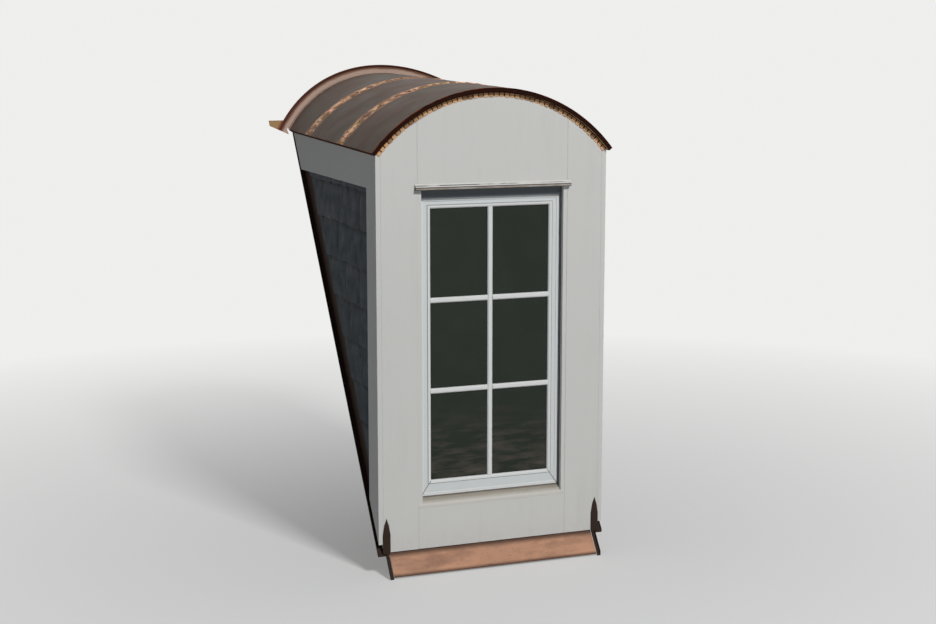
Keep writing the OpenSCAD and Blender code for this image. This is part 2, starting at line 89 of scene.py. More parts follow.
# The barrel: the width and rise of the arch on the face give the radius and the centre
EDGE_LOW, EDGE_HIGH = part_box("arch_drip_edge")
HALF_SPAN = EDGE_HIGH.x
COPPER_T = EDGE_HIGH.y - EDGE_LOW.y
DECK_LOW, DECK_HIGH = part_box("roof_deck")
DECK_T, TAB_H, ARCH_RISE = 0.018, 0.022, 0.275
LEAN = math.tan(math.radians(1.2))
FACE_RADIUS = (FACE_HALF ** 2 + ARCH_RISE ** 2) / (2 * ARCH_RISE)
ARCH_CENTRE = Vector((0, 0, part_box("arch_tabs")[1].z - FACE_RADIUS - TAB_H))
COPPER_R = FACE_RADIUS + TAB_H + DECK_T + COPPER_T
DECK_OUT_R = COPPER_R - COPPER_T
DECK_IN_R = DECK_OUT_R - DECK_T
EAVE_HALF = math.asin(HALF_SPAN / COPPER_R)

# The slope that the dormer stands on: the plane through the origin under the curb
SLOPE = math.radians(52)
SLOPE_UP = Vector((0, -math.sin(SLOPE), math.cos(SLOPE)))
LOWEST_Z = cad_low.z

# Points closer than this are merged, the deck runs past its node before the cut on the slope,
# and the bead laps over the glass's edge
MERGE, DECK_PAST, BEAD_OVERLAP = 0.00001, 0.02, 0.002


def size_setting(name, description, default, low, high):
    """A length that can be set in the sidebar"""
    return bpy.props.FloatProperty(name=name, description=description, default=default,
                                   min=low, max=high, unit="LENGTH")


def colour_setting(name, description, default):
    """A colour that can be set in the sidebar"""
    return bpy.props.FloatVectorProperty(name=name, description=description, default=default,
                                         size=3, subtype="COLOR", min=0, max=1)


def amount_setting(name, description, default, high, low=0):
    """A plain number that can be set in the sidebar"""
    return bpy.props.FloatProperty(name=name, description=description, default=default,
                                   min=low, max=high)


def place_setting(name, description, default):
    """A place in the scene that can be set in the sidebar"""
    return bpy.props.FloatVectorProperty(name=name, description=description, default=default,
                                         size=3, subtype="TRANSLATION", unit="LENGTH")


class DormerBoards(bpy.types.PropertyGroup):
    """Painted boards of the face and the cheeks"""

    edge: size_setting("Eased edge", "Radius of the boards' arrises", 0.0016, 0.0005, 0.004)
    paint: colour_setting("Paint", "Colour of the board paint", (0.635, 0.630, 0.607))
    grime: colour_setting("Grime", "Colour of the dirt on the boards", (0.30, 0.275, 0.23))


class DormerWindow(bpy.types.PropertyGroup):
    """Frame, sash, bars and glass"""

    edge: size_setting("Eased edge", "Radius of the edges of frame and sash", 0.0012, 0.0005, 0.003)
    paint: colour_setting("Coating", "Colour of the coated frame and sash", (0.655, 0.685, 0.685))
    sill_dirt: colour_setting("Sill dirt", "Colour of the dirt on the sill's wash",
                              (0.30, 0.262, 0.212))
    # Lighter than the sash coating: painted light on the raised rim, bead and bars
    bead: colour_setting("Bead", "Colour of the newer beads and rims", (0.72, 0.735, 0.725))
    bead_width: size_setting("Bead width", "Width of the glazing bead in front view",
                             0.015, 0.006, 0.02)
    rim_width: size_setting("Rim width", "Width of the raised rim round the sash",
                            0.015, 0.006, 0.02)
    casing_width: size_setting("Casing width", "Width of the strips that line the opening's sides",
                               0.019, 0.008, 0.022)
    bar_width: size_setting("Bar width", "Width of a glazing bar", 0.024, 0.012, 0.04)
    bar_depth: size_setting("Bar depth", "How far a glazing bar stands off the glass",
                            0.011, 0.004, 0.02)
    rows: bpy.props.IntProperty(name="Rows", description="Rows of panes", default=3, min=1, max=6)
    glass: colour_setting("Glass", "Tint of the glass", (0.012, 0.020, 0.011))


class DormerSlates(bpy.types.PropertyGroup):
    """Slates that hang on the cheeks"""

    course: size_setting("Course", "Height that one course shows", 0.177, 0.1, 0.3)
    first: size_setting("First course", "Height of a course line above the bottom of the face",
                        0.552, 0.3, 0.8)
    thickness: size_setting("Thickness", "Thickness of one slate", 0.008, 0.004, 0.012)
    narrow: size_setting("Narrowest", "Width of the narrowest slate", 0.22, 0.1, 0.3)
    wide: size_setting("Widest", "Width of the widest slate", 0.34, 0.15, 0.4)
    clear: size_setting("Clear of the slope", "Gap between the cut edge and the slope, square to it",
                        0.122, 0.03, 0.16)
    # Darker than the slates' own grey: painted shade
    colour: colour_setting("Slate", "Mean colour of the slates", (0.041, 0.052, 0.064))


class DormerCopper(bpy.types.PropertyGroup):
    """Roof pans, edges and flashings"""

    aged: colour_setting("Aged copper", "Brown of the weathered roof pans", (0.142, 0.090, 0.070))
    # Also used as painted shade along the apron's edges
    dark: colour_setting("Dark copper", "Darkest brown of edges and folds", (0.040, 0.022, 0.016))
    bright: colour_setting("Bright copper", "Salmon of scraped and newer copper",
                           (0.40, 0.215, 0.135))
    seam_one: size_setting("First seam", "Distance of the first cross seam behind the face",
                           0.505, 0.3, 0.7)
    seam_two: size_setting("Second seam", "Distance of the second cross seam behind the face",
                           1.075, 0.8, 1.2)
    seam_width: size_setting("Seam width", "Width of the scraped and soldered band at a seam",
                             0.150, 0.02, 0.25)
    tab_pitch: size_setting("Tab pitch", "Distance between the snips of the tabs",
                            0.024, 0.015, 0.06)


class DormerTimber(bpy.types.PropertyGroup):
    """Framing, deck boards and sheathing"""

    edge: size_setting("Eased edge", "Radius of the edges of studs and plates", 0.003, 0.001, 0.006)
    softwood: colour_setting("Softwood", "Colour of the framing timber", (0.52, 0.36, 0.20))
    plywood: colour_setting("Plywood", "Colour of the sheathing", (0.47, 0.34, 0.20))
    deck_board: size_setting("Deck board", "Width of one deck board", 0.084, 0.05, 0.15)


class DormerStage(bpy.types.PropertyGroup):
    """Floor, lights and camera"""

    floor: colour_setting("Floor", "Colour of the floor", (0.80, 0.80, 0.79))
    backdrop: colour_setting("Backdrop", "Colour far behind the dormer", (0.86, 0.86, 0.85))
    key_watts: amount_setting("Key light", "Power of the main soft light", 3000, 5000)
    fill_watts: amount_setting("Fill light", "Power of the fill light", 4, 3000)
    world_strength: amount_setting("Surroundings", "Brightness of the even light all round", 0.045, 2)
    lens: amount_setting("Lens", "Focal length of the camera in millimetres", 62, 200, 20)
    eye: place_setting("Eye", "Place of the camera", (-2.602, -6.766, 2.1815))
    target: place_setting("Target", "Point that the camera looks at", (0.0, 0.25, 0.9365))


# Selecting and editing


def let_go():
    """Leaves edit mode and deselects everything"""
    if bpy.context.object and bpy.context.object.mode != "OBJECT":
        bpy.ops.object.mode_set(mode="OBJECT")
    bpy.ops.object.select_all(action="DESELECT")


def take(piece):
    """Makes one piece the only selected and active one"""
    let_go()
    piece.select_set(True)
    bpy.context.view_layer.objects.active = piece


@contextmanager
def editing(piece):
    """Edit mode on one piece, with all of it selected at first"""
    take(piece)
    bpy.ops.object.mode_set(mode="EDIT")
    bpy.ops.mesh.select_mode(type="VERT")
    bpy.ops.mesh.select_all(action="SELECT")
    yield
    bpy.ops.object.mode_set(mode="OBJECT")


def pick(piece, kind, wanted):
    """Selects only the faces or the edges that pass a test"""
    bpy.ops.mesh.select_mode(type=kind)
    bpy.ops.mesh.select_all(action="DESELECT")
    mesh = bmesh.from_edit_mesh(piece.data)
    for part in mesh.faces if kind == "FACE" else mesh.edges:
        part.select_set(bool(wanted(part)))
    bmesh.update_edit_mesh(piece.data)


def face_outward():
    """Turns the normals of the mesh in edit mode outward"""
    bpy.ops.mesh.select_all(action="SELECT")
    bpy.ops.mesh.normals_make_consistent(inside=False)


def freeze(piece):
    """Puts the piece's place, turn and size into its mesh"""
    take(piece)
    bpy.ops.object.transform_apply(location=True, rotation=True, scale=True)


def smooth(piece, degrees):
    """Smooths a piece except where its faces meet at more than an angle"""
    take(piece)
    bpy.ops.object.shade_smooth_by_angle(angle=math.radians(degrees))


def apply_modifier(piece, kind, **settings):
    """Adds a modifier with its settings and applies it at once"""
    take(piece)
    modifier = piece.modifiers.new(kind.lower(), kind)
    for key, value in settings.items():
        setattr(modifier, key, value)
    bpy.ops.object.modifier_apply(modifier=modifier.name)


def ease(piece, width, segments=2):
    """Rounds the sharp edges of a piece and smooths what is nearly flat"""
    apply_modifier(piece, "BEVEL", width=width, segments=segments, limit_method="ANGLE",
                   angle_limit=math.radians(40), use_clamp_overlap=True)
    smooth(piece, 32)
    apply_modifier(piece, "WEIGHTED_NORMAL", keep_sharp=True)


def slice_at(piece, point, normal, **options):
    """Adds a ring of edges where a plane passes through a piece"""
    with editing(piece):
        bpy.ops.mesh.bisect(plane_co=point, plane_no=normal, **options)


def keep_side(piece, point, normal):
    """Cuts a piece on a plane, keeps the side that the normal points to, and closes the cut"""
    slice_at(piece, point, normal, use_fill=True, clear_inner=True)


# Starting shapes


def add_box(name, low, high):
    """A box between two corners"""
    let_go()
    low, high = Vector(low), Vector(high)
    bpy.ops.mesh.primitive_cube_add(size=1, location=(low + high) / 2, scale=high - low)
    piece = bpy.context.object
    piece.name = name
    freeze(piece)
    return piece


def add_sheet(name, middle, turn, width, height):
    """A flat rectangle round a middle point"""
    let_go()
    bpy.ops.mesh.primitive_plane_add(size=1, location=middle, rotation=turn)
    piece = bpy.context.object
    piece.name = name
    piece.scale = (width, height, 1)
    freeze(piece)
    return piece


def add_ring(name, half, low_z, high_z, width, back_y, front_y):
    """A mitred ring in front view: an inset sheet, drawn forward"""
    middle_z = (low_z + high_z) / 2
    piece = add_sheet(name, (0, back_y, middle_z), (math.pi / 2, 0, 0), 2 * half, high_z - low_z)

    def central(face):
        middle = face.calc_center_median()
        return abs(middle.x) < 1e-4 and abs(middle.z - middle_z) < 1e-4

    with editing(piece):
        bpy.ops.mesh.inset(thickness=width, depth=0)
        pick(piece, "FACE", central)
        bpy.ops.mesh.delete(type="FACE")
        bpy.ops.mesh.select_all(action="SELECT")
        bpy.ops.mesh.extrude_region_move(
            TRANSFORM_OT_translate={"value": (0, front_y - back_y, 0)})
        face_outward()
    return piece


def turn_on_arch(angle):
    """Turns about the axis of the barrel: positive towards the right eave"""
    return (Matrix.Translation(ARCH_CENTRE) @ Matrix.Rotation(angle, 4, "Y")
            @ Matrix.Translation(-ARCH_CENTRE))


def sweep_arc(name, r0, r1, y0, y1, half, steps):
    """A rectangle between two radii and two depths, spun over the barrel"""
    middle = ARCH_CENTRE + Vector((0, (y0 + y1) / 2, (r0 + r1) / 2))
    piece = add_sheet(name, middle, (0, math.pi / 2, 0), r1 - r0, y1 - y0)
    piece.data.transform(turn_on_arch(-half))
    with editing(piece):
        bpy.ops.mesh.spin(steps=steps, angle=-2 * half, center=ARCH_CENTRE, axis=(0, 1, 0))
        bpy.ops.mesh.select_all(action="SELECT")
        bpy.ops.mesh.remove_doubles(threshold=MERGE)
        bpy.ops.mesh.fill_holes(sides=0)
        bpy.ops.mesh.normals_make_consistent(inside=False)
    return piece


def lean_back(piece):
    """Raises a piece of the barrel with its depth, because the roof climbs a little to the rear"""
    for vertex in piece.data.vertices:
        vertex.co.z += (vertex.co.y - FACE_Y) * LEAN


def copy_node(node, name):
    """A clean copy of a CAD node's mesh, with its loose triangles merged"""
    piece = bpy.data.objects.new(name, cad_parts[node].data.copy())
    bpy.context.scene.collection.objects.link(piece)
    take(piece)
    bpy.ops.mesh.customdata_custom_splitnormals_clear()
    with editing(piece):
        bpy.ops.mesh.remove_doubles(threshold=MERGE)
        bpy.ops.mesh.dissolve_limited(angle_limit=math.radians(0.4))
    return piece


def copy_piece(piece, name):
    """A copy with its own mesh"""
    new = bpy.data.objects.new(name, piece.data.copy())
    bpy.context.scene.collection.objects.link(new)
    return new


def join(pieces, name):
    """Joins pieces into one"""
    take(pieces[0])
    for piece in pieces:
        piece.select_set(True)
    bpy.ops.object.join()
    joined = bpy.context.object
    joined.name = name
    return joined


def discard(piece):
    """Removes a pattern piece that has been copied"""
    bpy.data.objects.remove(piece, do_unlink=True)


def set_tone(piece, value):
    """Gives every point of a piece one tone, which its material reads"""
    tone = piece.data.attributes.get("tone") or piece.data.attributes.new("tone", "FLOAT", "POINT")
    tone.data.foreach_set("value", [value] * len(piece.data.vertices))


def dress(piece, material, slot, *nodes):
    """Gives a piece its material, its body and the nodes it stands for; the slot is not used"""
    piece.data.materials.clear()
    piece.data.materials.append(bpy.data.materials[material])
    if nodes:
        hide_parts(*nodes)
    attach(piece, "root")


def dress_node(node, name, material, slot, edge, segments=2):
    """Copies a CAD node, eases its edges and dresses the copy in its place"""
    piece = copy_node(node, name)
    ease(piece, edge, segments)
    dress(piece, material, slot, node)


def nodes_named(*starts):
    """The CAD nodes whose names start with one of these words, in order"""
    return sorted(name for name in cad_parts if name.startswith(starts))


# Shader building


def put(tree, kind, **values):
    """Adds a node; attributes of the node are set first, then inputs of that name"""
    node = tree.nodes.new(kind)
    for key, value in values.items():
        if hasattr(node, key):
            setattr(node, key, value)
        else:
            node.inputs[key.replace("_", " ")].default_value = value
    return node


def feed(socket, value):
    """Gives an input a signal, a number or a colour"""
    if isinstance(value, Signal):
        value.tree.links.new(value.socket, socket)
    elif isinstance(value, (int, float)):
        socket.default_value = value
    else:
        socket.default_value = (*value[:3], 1)


class Signal:
    """What one socket of a shader tree gives; sums with it add Math nodes"""

    def __init__(self, tree, socket):
        self.tree = tree
        self.socket = socket

    def __add__(self, other):
        return maths("ADD", self, other)

    def __sub__(self, other):
        return maths("SUBTRACT", self, other)

    def __rsub__(self, other):
        return maths("SUBTRACT", other, self)

    def __mul__(self, other):
        return maths("MULTIPLY", self, other)

    def __truediv__(self, other):
        return maths("DIVIDE", self, other)

    def __pow__(self, other):
        return maths("POWER", self, other)

    def __abs__(self):
        return maths("ABSOLUTE", self)

    def axis(self, name):
        """One coordinate of a vector"""
        parts = put(self.tree, "ShaderNodeSeparateXYZ")
        feed(parts.inputs[0], self)
        return Signal(self.tree, parts.outputs[name])

    def ramp(self, low, high):
        """Runs from 0 at low to 1 at high"""
        span = put(self.tree, "ShaderNodeMapRange", clamp=True, From_Min=low, From_Max=high)
        feed(span.inputs["Value"], self)
        return Signal(self.tree, span.outputs["Result"])

    def fall(self, low, high):
        """Runs from 1 at low to 0 at high"""
        return 1.0 - self.ramp(low, high)

    def band(self, low, high, soft):
        """1 between low and high, with a soft border outside both"""
        return self.ramp(low - soft, low) - self.ramp(high, high + soft)

    def noise(self, scale, low, high, detail=6.0, roughness=0.6):
        """Noise over a vector, stretched so that it runs from 0 at low to 1 at high"""
        noise = put(self.tree, "ShaderNodeTexNoise", Detail=detail, Roughness=roughness)
        feed(noise.inputs["Vector"], self)
        feed(noise.inputs["Scale"], scale)
        return Signal(self.tree, noise.outputs["Fac"]).ramp(low, high)


def maths(operation, first, second=0.0):
    """A Math node on two signals, or on a signal and a number"""
    tree = first.tree if isinstance(first, Signal) else second.tree
    node = put(tree, "ShaderNodeMath", operation=operation)
    feed(node.inputs[0], first)
    feed(node.inputs[1], second)
    return Signal(tree, node.outputs[0])


def blend(factor, first, second):
    """Mixes two colours, each a signal or a value"""
    node = put(factor.tree, "ShaderNodeMix", data_type="RGBA")
    for number, value in ((0, factor), (6, first), (7, second)):
        feed(node.inputs[number], value)
    return Signal(factor.tree, node.outputs[2])


class Mixture:
    """A shader tree with its object coordinates, noises and groups"""

    def __init__(self, tree):
        self.tree = tree

    def point(self, scale=(1, 1, 1), turn=(0, 0, 0), shift=(0, 0, 0)):
        """Object coordinates, scaled, turned and shifted"""
        coords = put(self.tree, "ShaderNodeTexCoord")
        mapping = put(self.tree, "ShaderNodeMapping", Scale=scale, Rotation=turn, Location=shift)
        self.tree.links.new(coords.outputs["Object"], mapping.inputs["Vector"])
        return Signal(self.tree, mapping.outputs["Vector"])

    def axis(self, name):
        """One object coordinate"""
        return self.point().axis(name)

    def noise(self, size, low, high, detail=6.0, **placing):
        """Noise in object coordinates"""
        return self.point(**placing).noise(size, low, high, detail)

    def tone(self):
        """The tone that each slate, tab or board was given"""
        attribute = put(self.tree, "ShaderNodeAttribute", attribute_name="tone")
        return Signal(self.tree, attribute.outputs["Fac"])

    def group(self, name, **values):
        """Places a group with its own values; gives its outputs by name"""
        node = put(self.tree, "ShaderNodeGroup", node_tree=bpy.data.node_groups[name])
        for key, value in values.items():
            feed(node.inputs[key.replace("_", " ")], value)
        return {socket.name: Signal(self.tree, socket) for socket in node.outputs}


class Skin(Mixture):
    """A material with a Principled shader; steady values are set on the shader's own sockets"""

    def __init__(self, name, roughness=0.5, metallic=0.0, gloss=0.25):
        self.material = bpy.data.materials.new(name)
        self.material.use_nodes = True
        super().__init__(self.material.node_tree)
        self.shader = self.tree.nodes["Principled BSDF"]
        self.base = None
        self.roughness = roughness
        self.shader.inputs["Roughness"].default_value = roughness
        self.shader.inputs["Metallic"].default_value = metallic
        self.shader.inputs["Specular IOR Level"].default_value = gloss

    def paint(self, colour):
        """Sets the base colour"""
        self.base = colour
        feed(self.shader.inputs["Base Color"], colour)

    def stain(self, mask, colour):
        """Lays a colour over the base colour where the mask is 1"""
        self.paint(blend(mask, self.base, colour))

    def roughen(self, level):
        """Sets the roughness"""
        self.roughness = level
        feed(self.shader.inputs["Roughness"], level)

    def bump(self, height, strength, distance):
        """Feeds a height to the shader's normal"""
        bump = put(self.tree, "ShaderNodeBump", Strength=strength, Distance=distance)
        feed(bump.inputs["Height"], height)
        self.tree.links.new(bump.outputs["Normal"], self.shader.inputs["Normal"])


def start_group(name, **inputs):
    """A shader group with named inputs: the mixture, and a signal for each input"""
    tree = bpy.data.node_groups.new(name, "ShaderNodeTree")
    for label, default in inputs.items():
        kind = "NodeSocketFloat" if isinstance(default, float) else "NodeSocketVector"
        socket = tree.interface.new_socket(label.replace("_", " "), in_out="INPUT", socket_type=kind)
        socket.default_value = default
    source = tree.nodes.new("NodeGroupInput")
    return Mixture(tree), *(Signal(tree, socket) for _, socket in zip(inputs, source.outputs))


def end_group(group, **results):
    """Gives a group one named output for each result"""
    for label in results:
        group.tree.interface.new_socket(label, in_out="OUTPUT", socket_type="NodeSocketFloat")
    target = group.tree.nodes.new("NodeGroupOutput")
    for label, signal in results.items():
        feed(target.inputs[label], signal)


def build_grime_group():
    """Soft dirt with rain streaks, for painted and coated faces"""
    group, streak_scale, amount = start_group("rain_grime", Streak_Scale=22.0, Amount=0.5)
    streak = group.point(scale=(1, 1, 0.09)).noise(streak_scale, 0.48, 0.80, 5.0, 0.65)
    cloud = group.noise(3.0, 0.40, 0.75)
    fine = group.noise(90.0, 0.35, 0.75, detail=4.0)
    end_group(group, Mask=(streak * cloud + fine * 0.10) * amount, Fine=fine)


def build_grain_group():
    """Sawn softwood: rings that wander along the board, pores and shade"""
    group, place, ring_scale = start_group("timber_grain", Vector=(0, 0, 0), Ring_Scale=40.0)
    tree = group.tree
    wander = put(tree, "ShaderNodeTexNoise", Scale=2.2, Detail=3.0)
    feed(wander.inputs["Vector"], place)
    push = put(tree, "ShaderNodeVectorMath", operation="SCALE", Scale=0.12)
    tree.links.new(wander.outputs["Color"], push.inputs[0])
    warped = put(tree, "ShaderNodeVectorMath", operation="ADD")
    feed(warped.inputs[0], place)
    tree.links.new(push.outputs[0], warped.inputs[1])
    wave = put(tree, "ShaderNodeTexWave", wave_type="RINGS", rings_direction="X",
               Distortion=3.2, Detail=3.0, Detail_Scale=1.4)
    tree.links.new(warped.outputs[0], wave.inputs["Vector"])
    feed(wave.inputs["Scale"], ring_scale)
    end_group(group, Grain=Signal(tree, wave.outputs["Fac"]),
              Pores=place.noise(260.0, 0.45, 0.75, 3.0, 0.5),
              Shade=place.noise(3.5, 0.3, 0.7, 4.0, 0.5))


def build_copper_group():
    """Weathered sheet copper: cloudy browns, pale bloom, spots and drawn streaks"""
    group, streak_scale, bloom = start_group("sheet_weathering", Streak_Scale=14.0, Bloom=0.4)
    run = group.point(scale=(0.35, 1, 0.35)).noise(streak_scale, 0.45, 0.78, 4.0)
    end_group(group, Clouds=group.noise(5.0, 0.30, 0.72), Bloom=run * bloom,
              Spots=group.noise(55.0, 0.62, 0.80, detail=3.0),
              Height=group.noise(7.0, 0.2, 0.8, detail=2.0))


def build_slate_group():
    """Split slate: cleft layers, faint veins and specks"""
    group, cleft_scale = start_group("slate_cleft", Cleft_Scale=16.0)
    layer = group.point(scale=(1, 1, 0.9)).noise(cleft_scale, 0.0, 1.0, 8.0, 0.62)
    end_group(group, Tint=layer.ramp(0.3, 0.72), Specks=group.noise(140.0, 0.60, 0.82),
              Height=maths("SNAP", layer, 0.06) * 0.6 + layer * 0.4)


def backdrop_rays(tree):
    """1 for rays from the camera, off gloss and through glass, which all show the backdrop"""
    path = put(tree, "ShaderNodeLightPath")
    camera, glossy, through = (Signal(tree, path.outputs[name]) for name in (
        "Is Camera Ray", "Is Glossy Ray", "Is Transmission Ray"))
    return maths("MAXIMUM", camera, maths("MAXIMUM", glossy, through))


def choose_shader(tree, factor, first, second, output):
    """Mixes two shaders and gives the mix to an output node"""
    mixed = put(tree, "ShaderNodeMixShader")
    for socket, source in zip(mixed.inputs, (factor.socket, first, second)):
        tree.links.new(source, socket)
    tree.links.new(mixed.outputs[0], tree.nodes[output].inputs["Surface"])


# Paint, coating and glass


def board_paint():
    """Matt warm white paint on smooth boards, dirty where water runs and along the bottom"""
    colours = bpy.context.scene.dormer_boards
    skin = Skin("board_paint", roughness=0.52, gloss=0.04)
    grime = skin.group("rain_grime", Streak_Scale=20.0, Amount=0.20)
    foot = skin.axis("Z").fall(STILE_LOW.z, STILE_LOW.z + 0.10) * 0.10
    splash = foot * skin.noise(30.0, 0.35, 0.7)
    skin.base = colours.paint
    skin.stain(skin.noise(1.6, 0.3, 0.7), Vector(colours.paint) * 0.975)
    skin.stain(maths("MINIMUM", grime["Mask"] + splash, 1.0), colours.grime)
    skin.roughen(grime["Fine"] * 0.16 + 0.46)
    skin.bump(skin.noise(320.0, 0.3, 0.7, detail=3.0, scale=(1, 1, 0.05)), 0.10, 0.0006)


def coating(name, colour):
    """Satin coating with light rain dirt"""
    skin = Skin(name, roughness=0.34, gloss=0.25)
    grime = skin.group("rain_grime", Streak_Scale=34.0, Amount=0.22)
    skin.paint(blend(grime["Mask"], colour, (0.42, 0.41, 0.37)))
    skin.roughen(grime["Fine"] * 0.14 + 0.30)
    skin.bump(skin.noise(60.0, 0.2, 0.8, detail=2.0), 0.05, 0.0005)
    return skin


def sash_coating(name, colour):
    """White coating with dirt in the open mitres at the two lower corners"""
    skin = coating(name, colour)
    wide, tall = SASH_HIGH.x - GLASS_HALF, GLASS_LOW_Z - SASH_LOW.z
    length = math.hypot(wide, tall)
    out = abs(skin.axis("X")) - GLASS_HALF
    down = GLASS_LOW_Z - skin.axis("Z")
    away = abs(out * (tall / length) - down * (wide / length))
    line = away.fall(0.0008, 0.0026) * out.band(0.0, wide, 0.001) * down.ramp(-0.002, 0.001)
    skin.stain(line * 0.8, (0.055, 0.055, 0.050))


def sill_coating():
    """Cream nose, a wash that gets greyer and browner towards the sash, and a dark line of painted
    shade right under the sash
    """
    skin = coating("sill_coating", (0.62, 0.60, 0.55))
    depth = skin.axis("Y")
    lies = skin.axis("Z").ramp(SASH_LOW.z - 0.036, SASH_LOW.z - 0.030)
    outside = depth.fall(SASH_LOW.y + 0.002, SASH_LOW.y + 0.006)
    inward = depth.ramp(FACE_Y + 0.002, FACE_Y + 0.022)
    patches = skin.noise(12.0, 0.28, 0.66, scale=(1, 3, 3))
    skin.stain(inward * (patches * 0.28 + 0.72) * lies * outside,
               bpy.context.scene.dormer_window.sill_dirt)
    # Painted shade: a dark line on the sill right under the sash
    corner = depth.ramp(SASH_LOW.y - 0.010, SASH_LOW.y - 0.002) * outside
    skin.stain(corner * 0.8, (0.055, 0.045, 0.035))


def frame_coating_with_painted_shade():
    """The frame behind the sash: painted shade in dark blue-grey on the outer faces of head and
    jambs, where the drip and the boards shade them; white towards the room
    """
    skin = coating("frame_coating_with_painted_shade", bpy.context.scene.dormer_window.paint)
    outside = skin.axis("Y").fall(SASH_LOW.y + 0.010, SASH_LOW.y + 0.014)
    up = skin.axis("Z").ramp(SASH_HIGH.z + 0.004, SASH_HIGH.z + 0.030)
    patches = skin.noise(10.0, 0.3, 0.7, scale=(1, 1, 4))
    # Painted shade: the outer faces of head and jambs are coloured dark blue-grey, darkest under the
    # drip
    dark = blend(up * 0.7, (0.082, 0.100, 0.118), (0.078, 0.086, 0.091))
    skin.stain(outside, blend(patches * 0.4, dark, (0.080, 0.095, 0.105)))


def drip_paint():
    """The drip over the window: cream slope with a broken dark line, worn brown-grey nose, and dark
    lines of painted shade under the ledge and at the foot
    """
    low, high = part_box("head_drip")
    middle = (low.z + high.z) / 2
    skin = Skin("drip_paint", roughness=0.55, gloss=0.05)
    grime = skin.group("rain_grime", Streak_Scale=28.0, Amount=0.35)
    height = skin.axis("Z")
    worn = skin.noise(16.0, 0.32, 0.66, scale=(1, 1, 4))
    nose = blend(worn, (0.24, 0.205, 0.175), (0.42, 0.385, 0.35))
    top = blend(grime["Mask"], (0.68, 0.67, 0.64), (0.34, 0.31, 0.27))
    skin.paint(blend(height.ramp(middle - 0.001, middle + 0.001), nose, top))
    # Painted shade: a dark line under the ledge at the top of the nose and one at the foot; the slope
    # gets a broken dark line
    ledge_shade = height.band(middle - 0.0035, middle - 0.0010, 0.001)
    broken_slope_line = (height.band(middle + 0.0045, middle + 0.0070, 0.0012)
             * skin.noise(9.0, 0.38, 0.56, scale=(1, 1, 0.2)))
    foot = height.fall(low.z + 0.002, low.z + 0.0035)
    lines = maths("MAXIMUM", maths("MAXIMUM", ledge_shade, broken_slope_line), foot)
    skin.stain(lines * 0.85, (0.035, 0.032, 0.030))
    skin.roughen(grime["Fine"] * 0.16 + 0.48)
    skin.bump(worn, 0.15, 0.0008)


def window_glass():
    """Dark glass that mirrors the surroundings, with faint dust towards the bottom"""
    skin = Skin("dark_glass", roughness=0.03, gloss=0.26)
    skin.shader.inputs["IOR"].default_value = 1.45
    skin.shader.inputs["Transmission Weight"].default_value = 0.25
    dust = skin.noise(8.0, 0.45, 0.9)
    skin.paint(blend(dust * 0.35, bpy.context.scene.dormer_window.glass, (0.030, 0.042, 0.028)))
    low = skin.axis("Z").fall(GLASS_LOW_Z + 0.08, GLASS_LOW_Z + 0.36)
    film = skin.noise(5.0, 0.42, 0.70, scale=(1.2, 1, 7), turn=(0, 0.10, 0))
    skin.stain(low * film, (0.085, 0.070, 0.055))
    skin.roughen(dust * 0.10 + 0.02)


def dull_rubber(name, clean, dusty):
    """Dull dark material with dust on it: the gasket, and the grey of the painted shadow ring beside
    the bead
    """
    skin = Skin(name, roughness=0.7, gloss=0.05)
    skin.paint(blend(skin.noise(120.0, 0.4, 0.8), clean, dusty))


# Slate, copper and wood


def slate_skin():
    """Blue-grey split slate, darkened overall as painted shade, whose tone changes from slate to
    slate, with painted shade under each course's butts
    """
    sizes = bpy.context.scene.dormer_slates
    skin = Skin("split_slate", roughness=0.62, gloss=0.05)
    cleft = skin.group("slate_cleft", Cleft_Scale=15.0)
    tone = skin.tone()
    mean = Vector(sizes.colour)
    skin.paint(blend(tone, mean * 0.88, mean * 1.16))
    skin.stain(tone.ramp(0.55, 0.60) * 0.5, (mean.x * 1.16, mean.y, mean.z))
    skin.stain(cleft["Tint"] * 0.25, mean * 0.6)
    skin.stain(cleft["Specks"] * 0.30, mean * 2.4)
    # Painted shade: a dark band just below the butts of the course above
    courses = (skin.axis("Z") - (STILE_LOW.z + sizes.first)) / sizes.course
    painted_butt_shadow = maths("FRACT", courses + 8.0).ramp(0.84, 1.0)
    skin.stain(painted_butt_shadow * 0.85, mean * 0.12)
    skin.roughen(cleft["Tint"] * 0.22 + 0.50)
    skin.bump(cleft["Height"], 0.30, 0.0020)


def copper_skin(name, start, bloom=0.4, metallic=0.0, roughness=0.5, gloss=0.08):
    """Sheet copper from one starting colour"""
    skin = Skin(name, roughness, metallic, gloss)
    sheet = skin.group("sheet_weathering", Streak_Scale=16.0, Bloom=bloom)
    start = Vector(start)
    skin.paint(blend(sheet["Clouds"], start * 0.78, start * 1.18))
    skin.stain(sheet["Bloom"], (start.x * 1.35, start.y * 1.42, start.z * 1.40))
    skin.stain(sheet["Spots"] * 0.45, bpy.context.scene.dormer_copper.dark)
    skin.roughen(sheet["Clouds"] * 0.20 + (roughness - 0.07))
    fine = skin.noise(160.0, 0.3, 0.7, detail=3.0)
    skin.bump(sheet["Height"] + fine * 0.06, 0.35, 0.004)
    return skin


def scrape_seams(skin):
    """Grey clouds over the pans, and the scraped and soldered bands of their seams"""
    skin.stain(skin.noise(4.0, 0.42, 0.66, shift=(0.7, 1.9, 0.2)) * 0.6, (0.120, 0.115, 0.092))
    smear, scraped, pits = seam_masks(skin)
    skin.stain(smear, (0.50, 0.265, 0.135))
    skin.stain(pits, (0.170, 0.085, 0.052))
    hue = skin.noise(11.0, 0.44, 0.56)
    skin.stain(scraped, blend(hue, (0.80, 0.52, 0.29), (0.80, 0.42, 0.29)))
    skin.roughen(skin.roughness - scraped * 0.10)
    feed(skin.shader.inputs["Metallic"], scraped * 0.35)


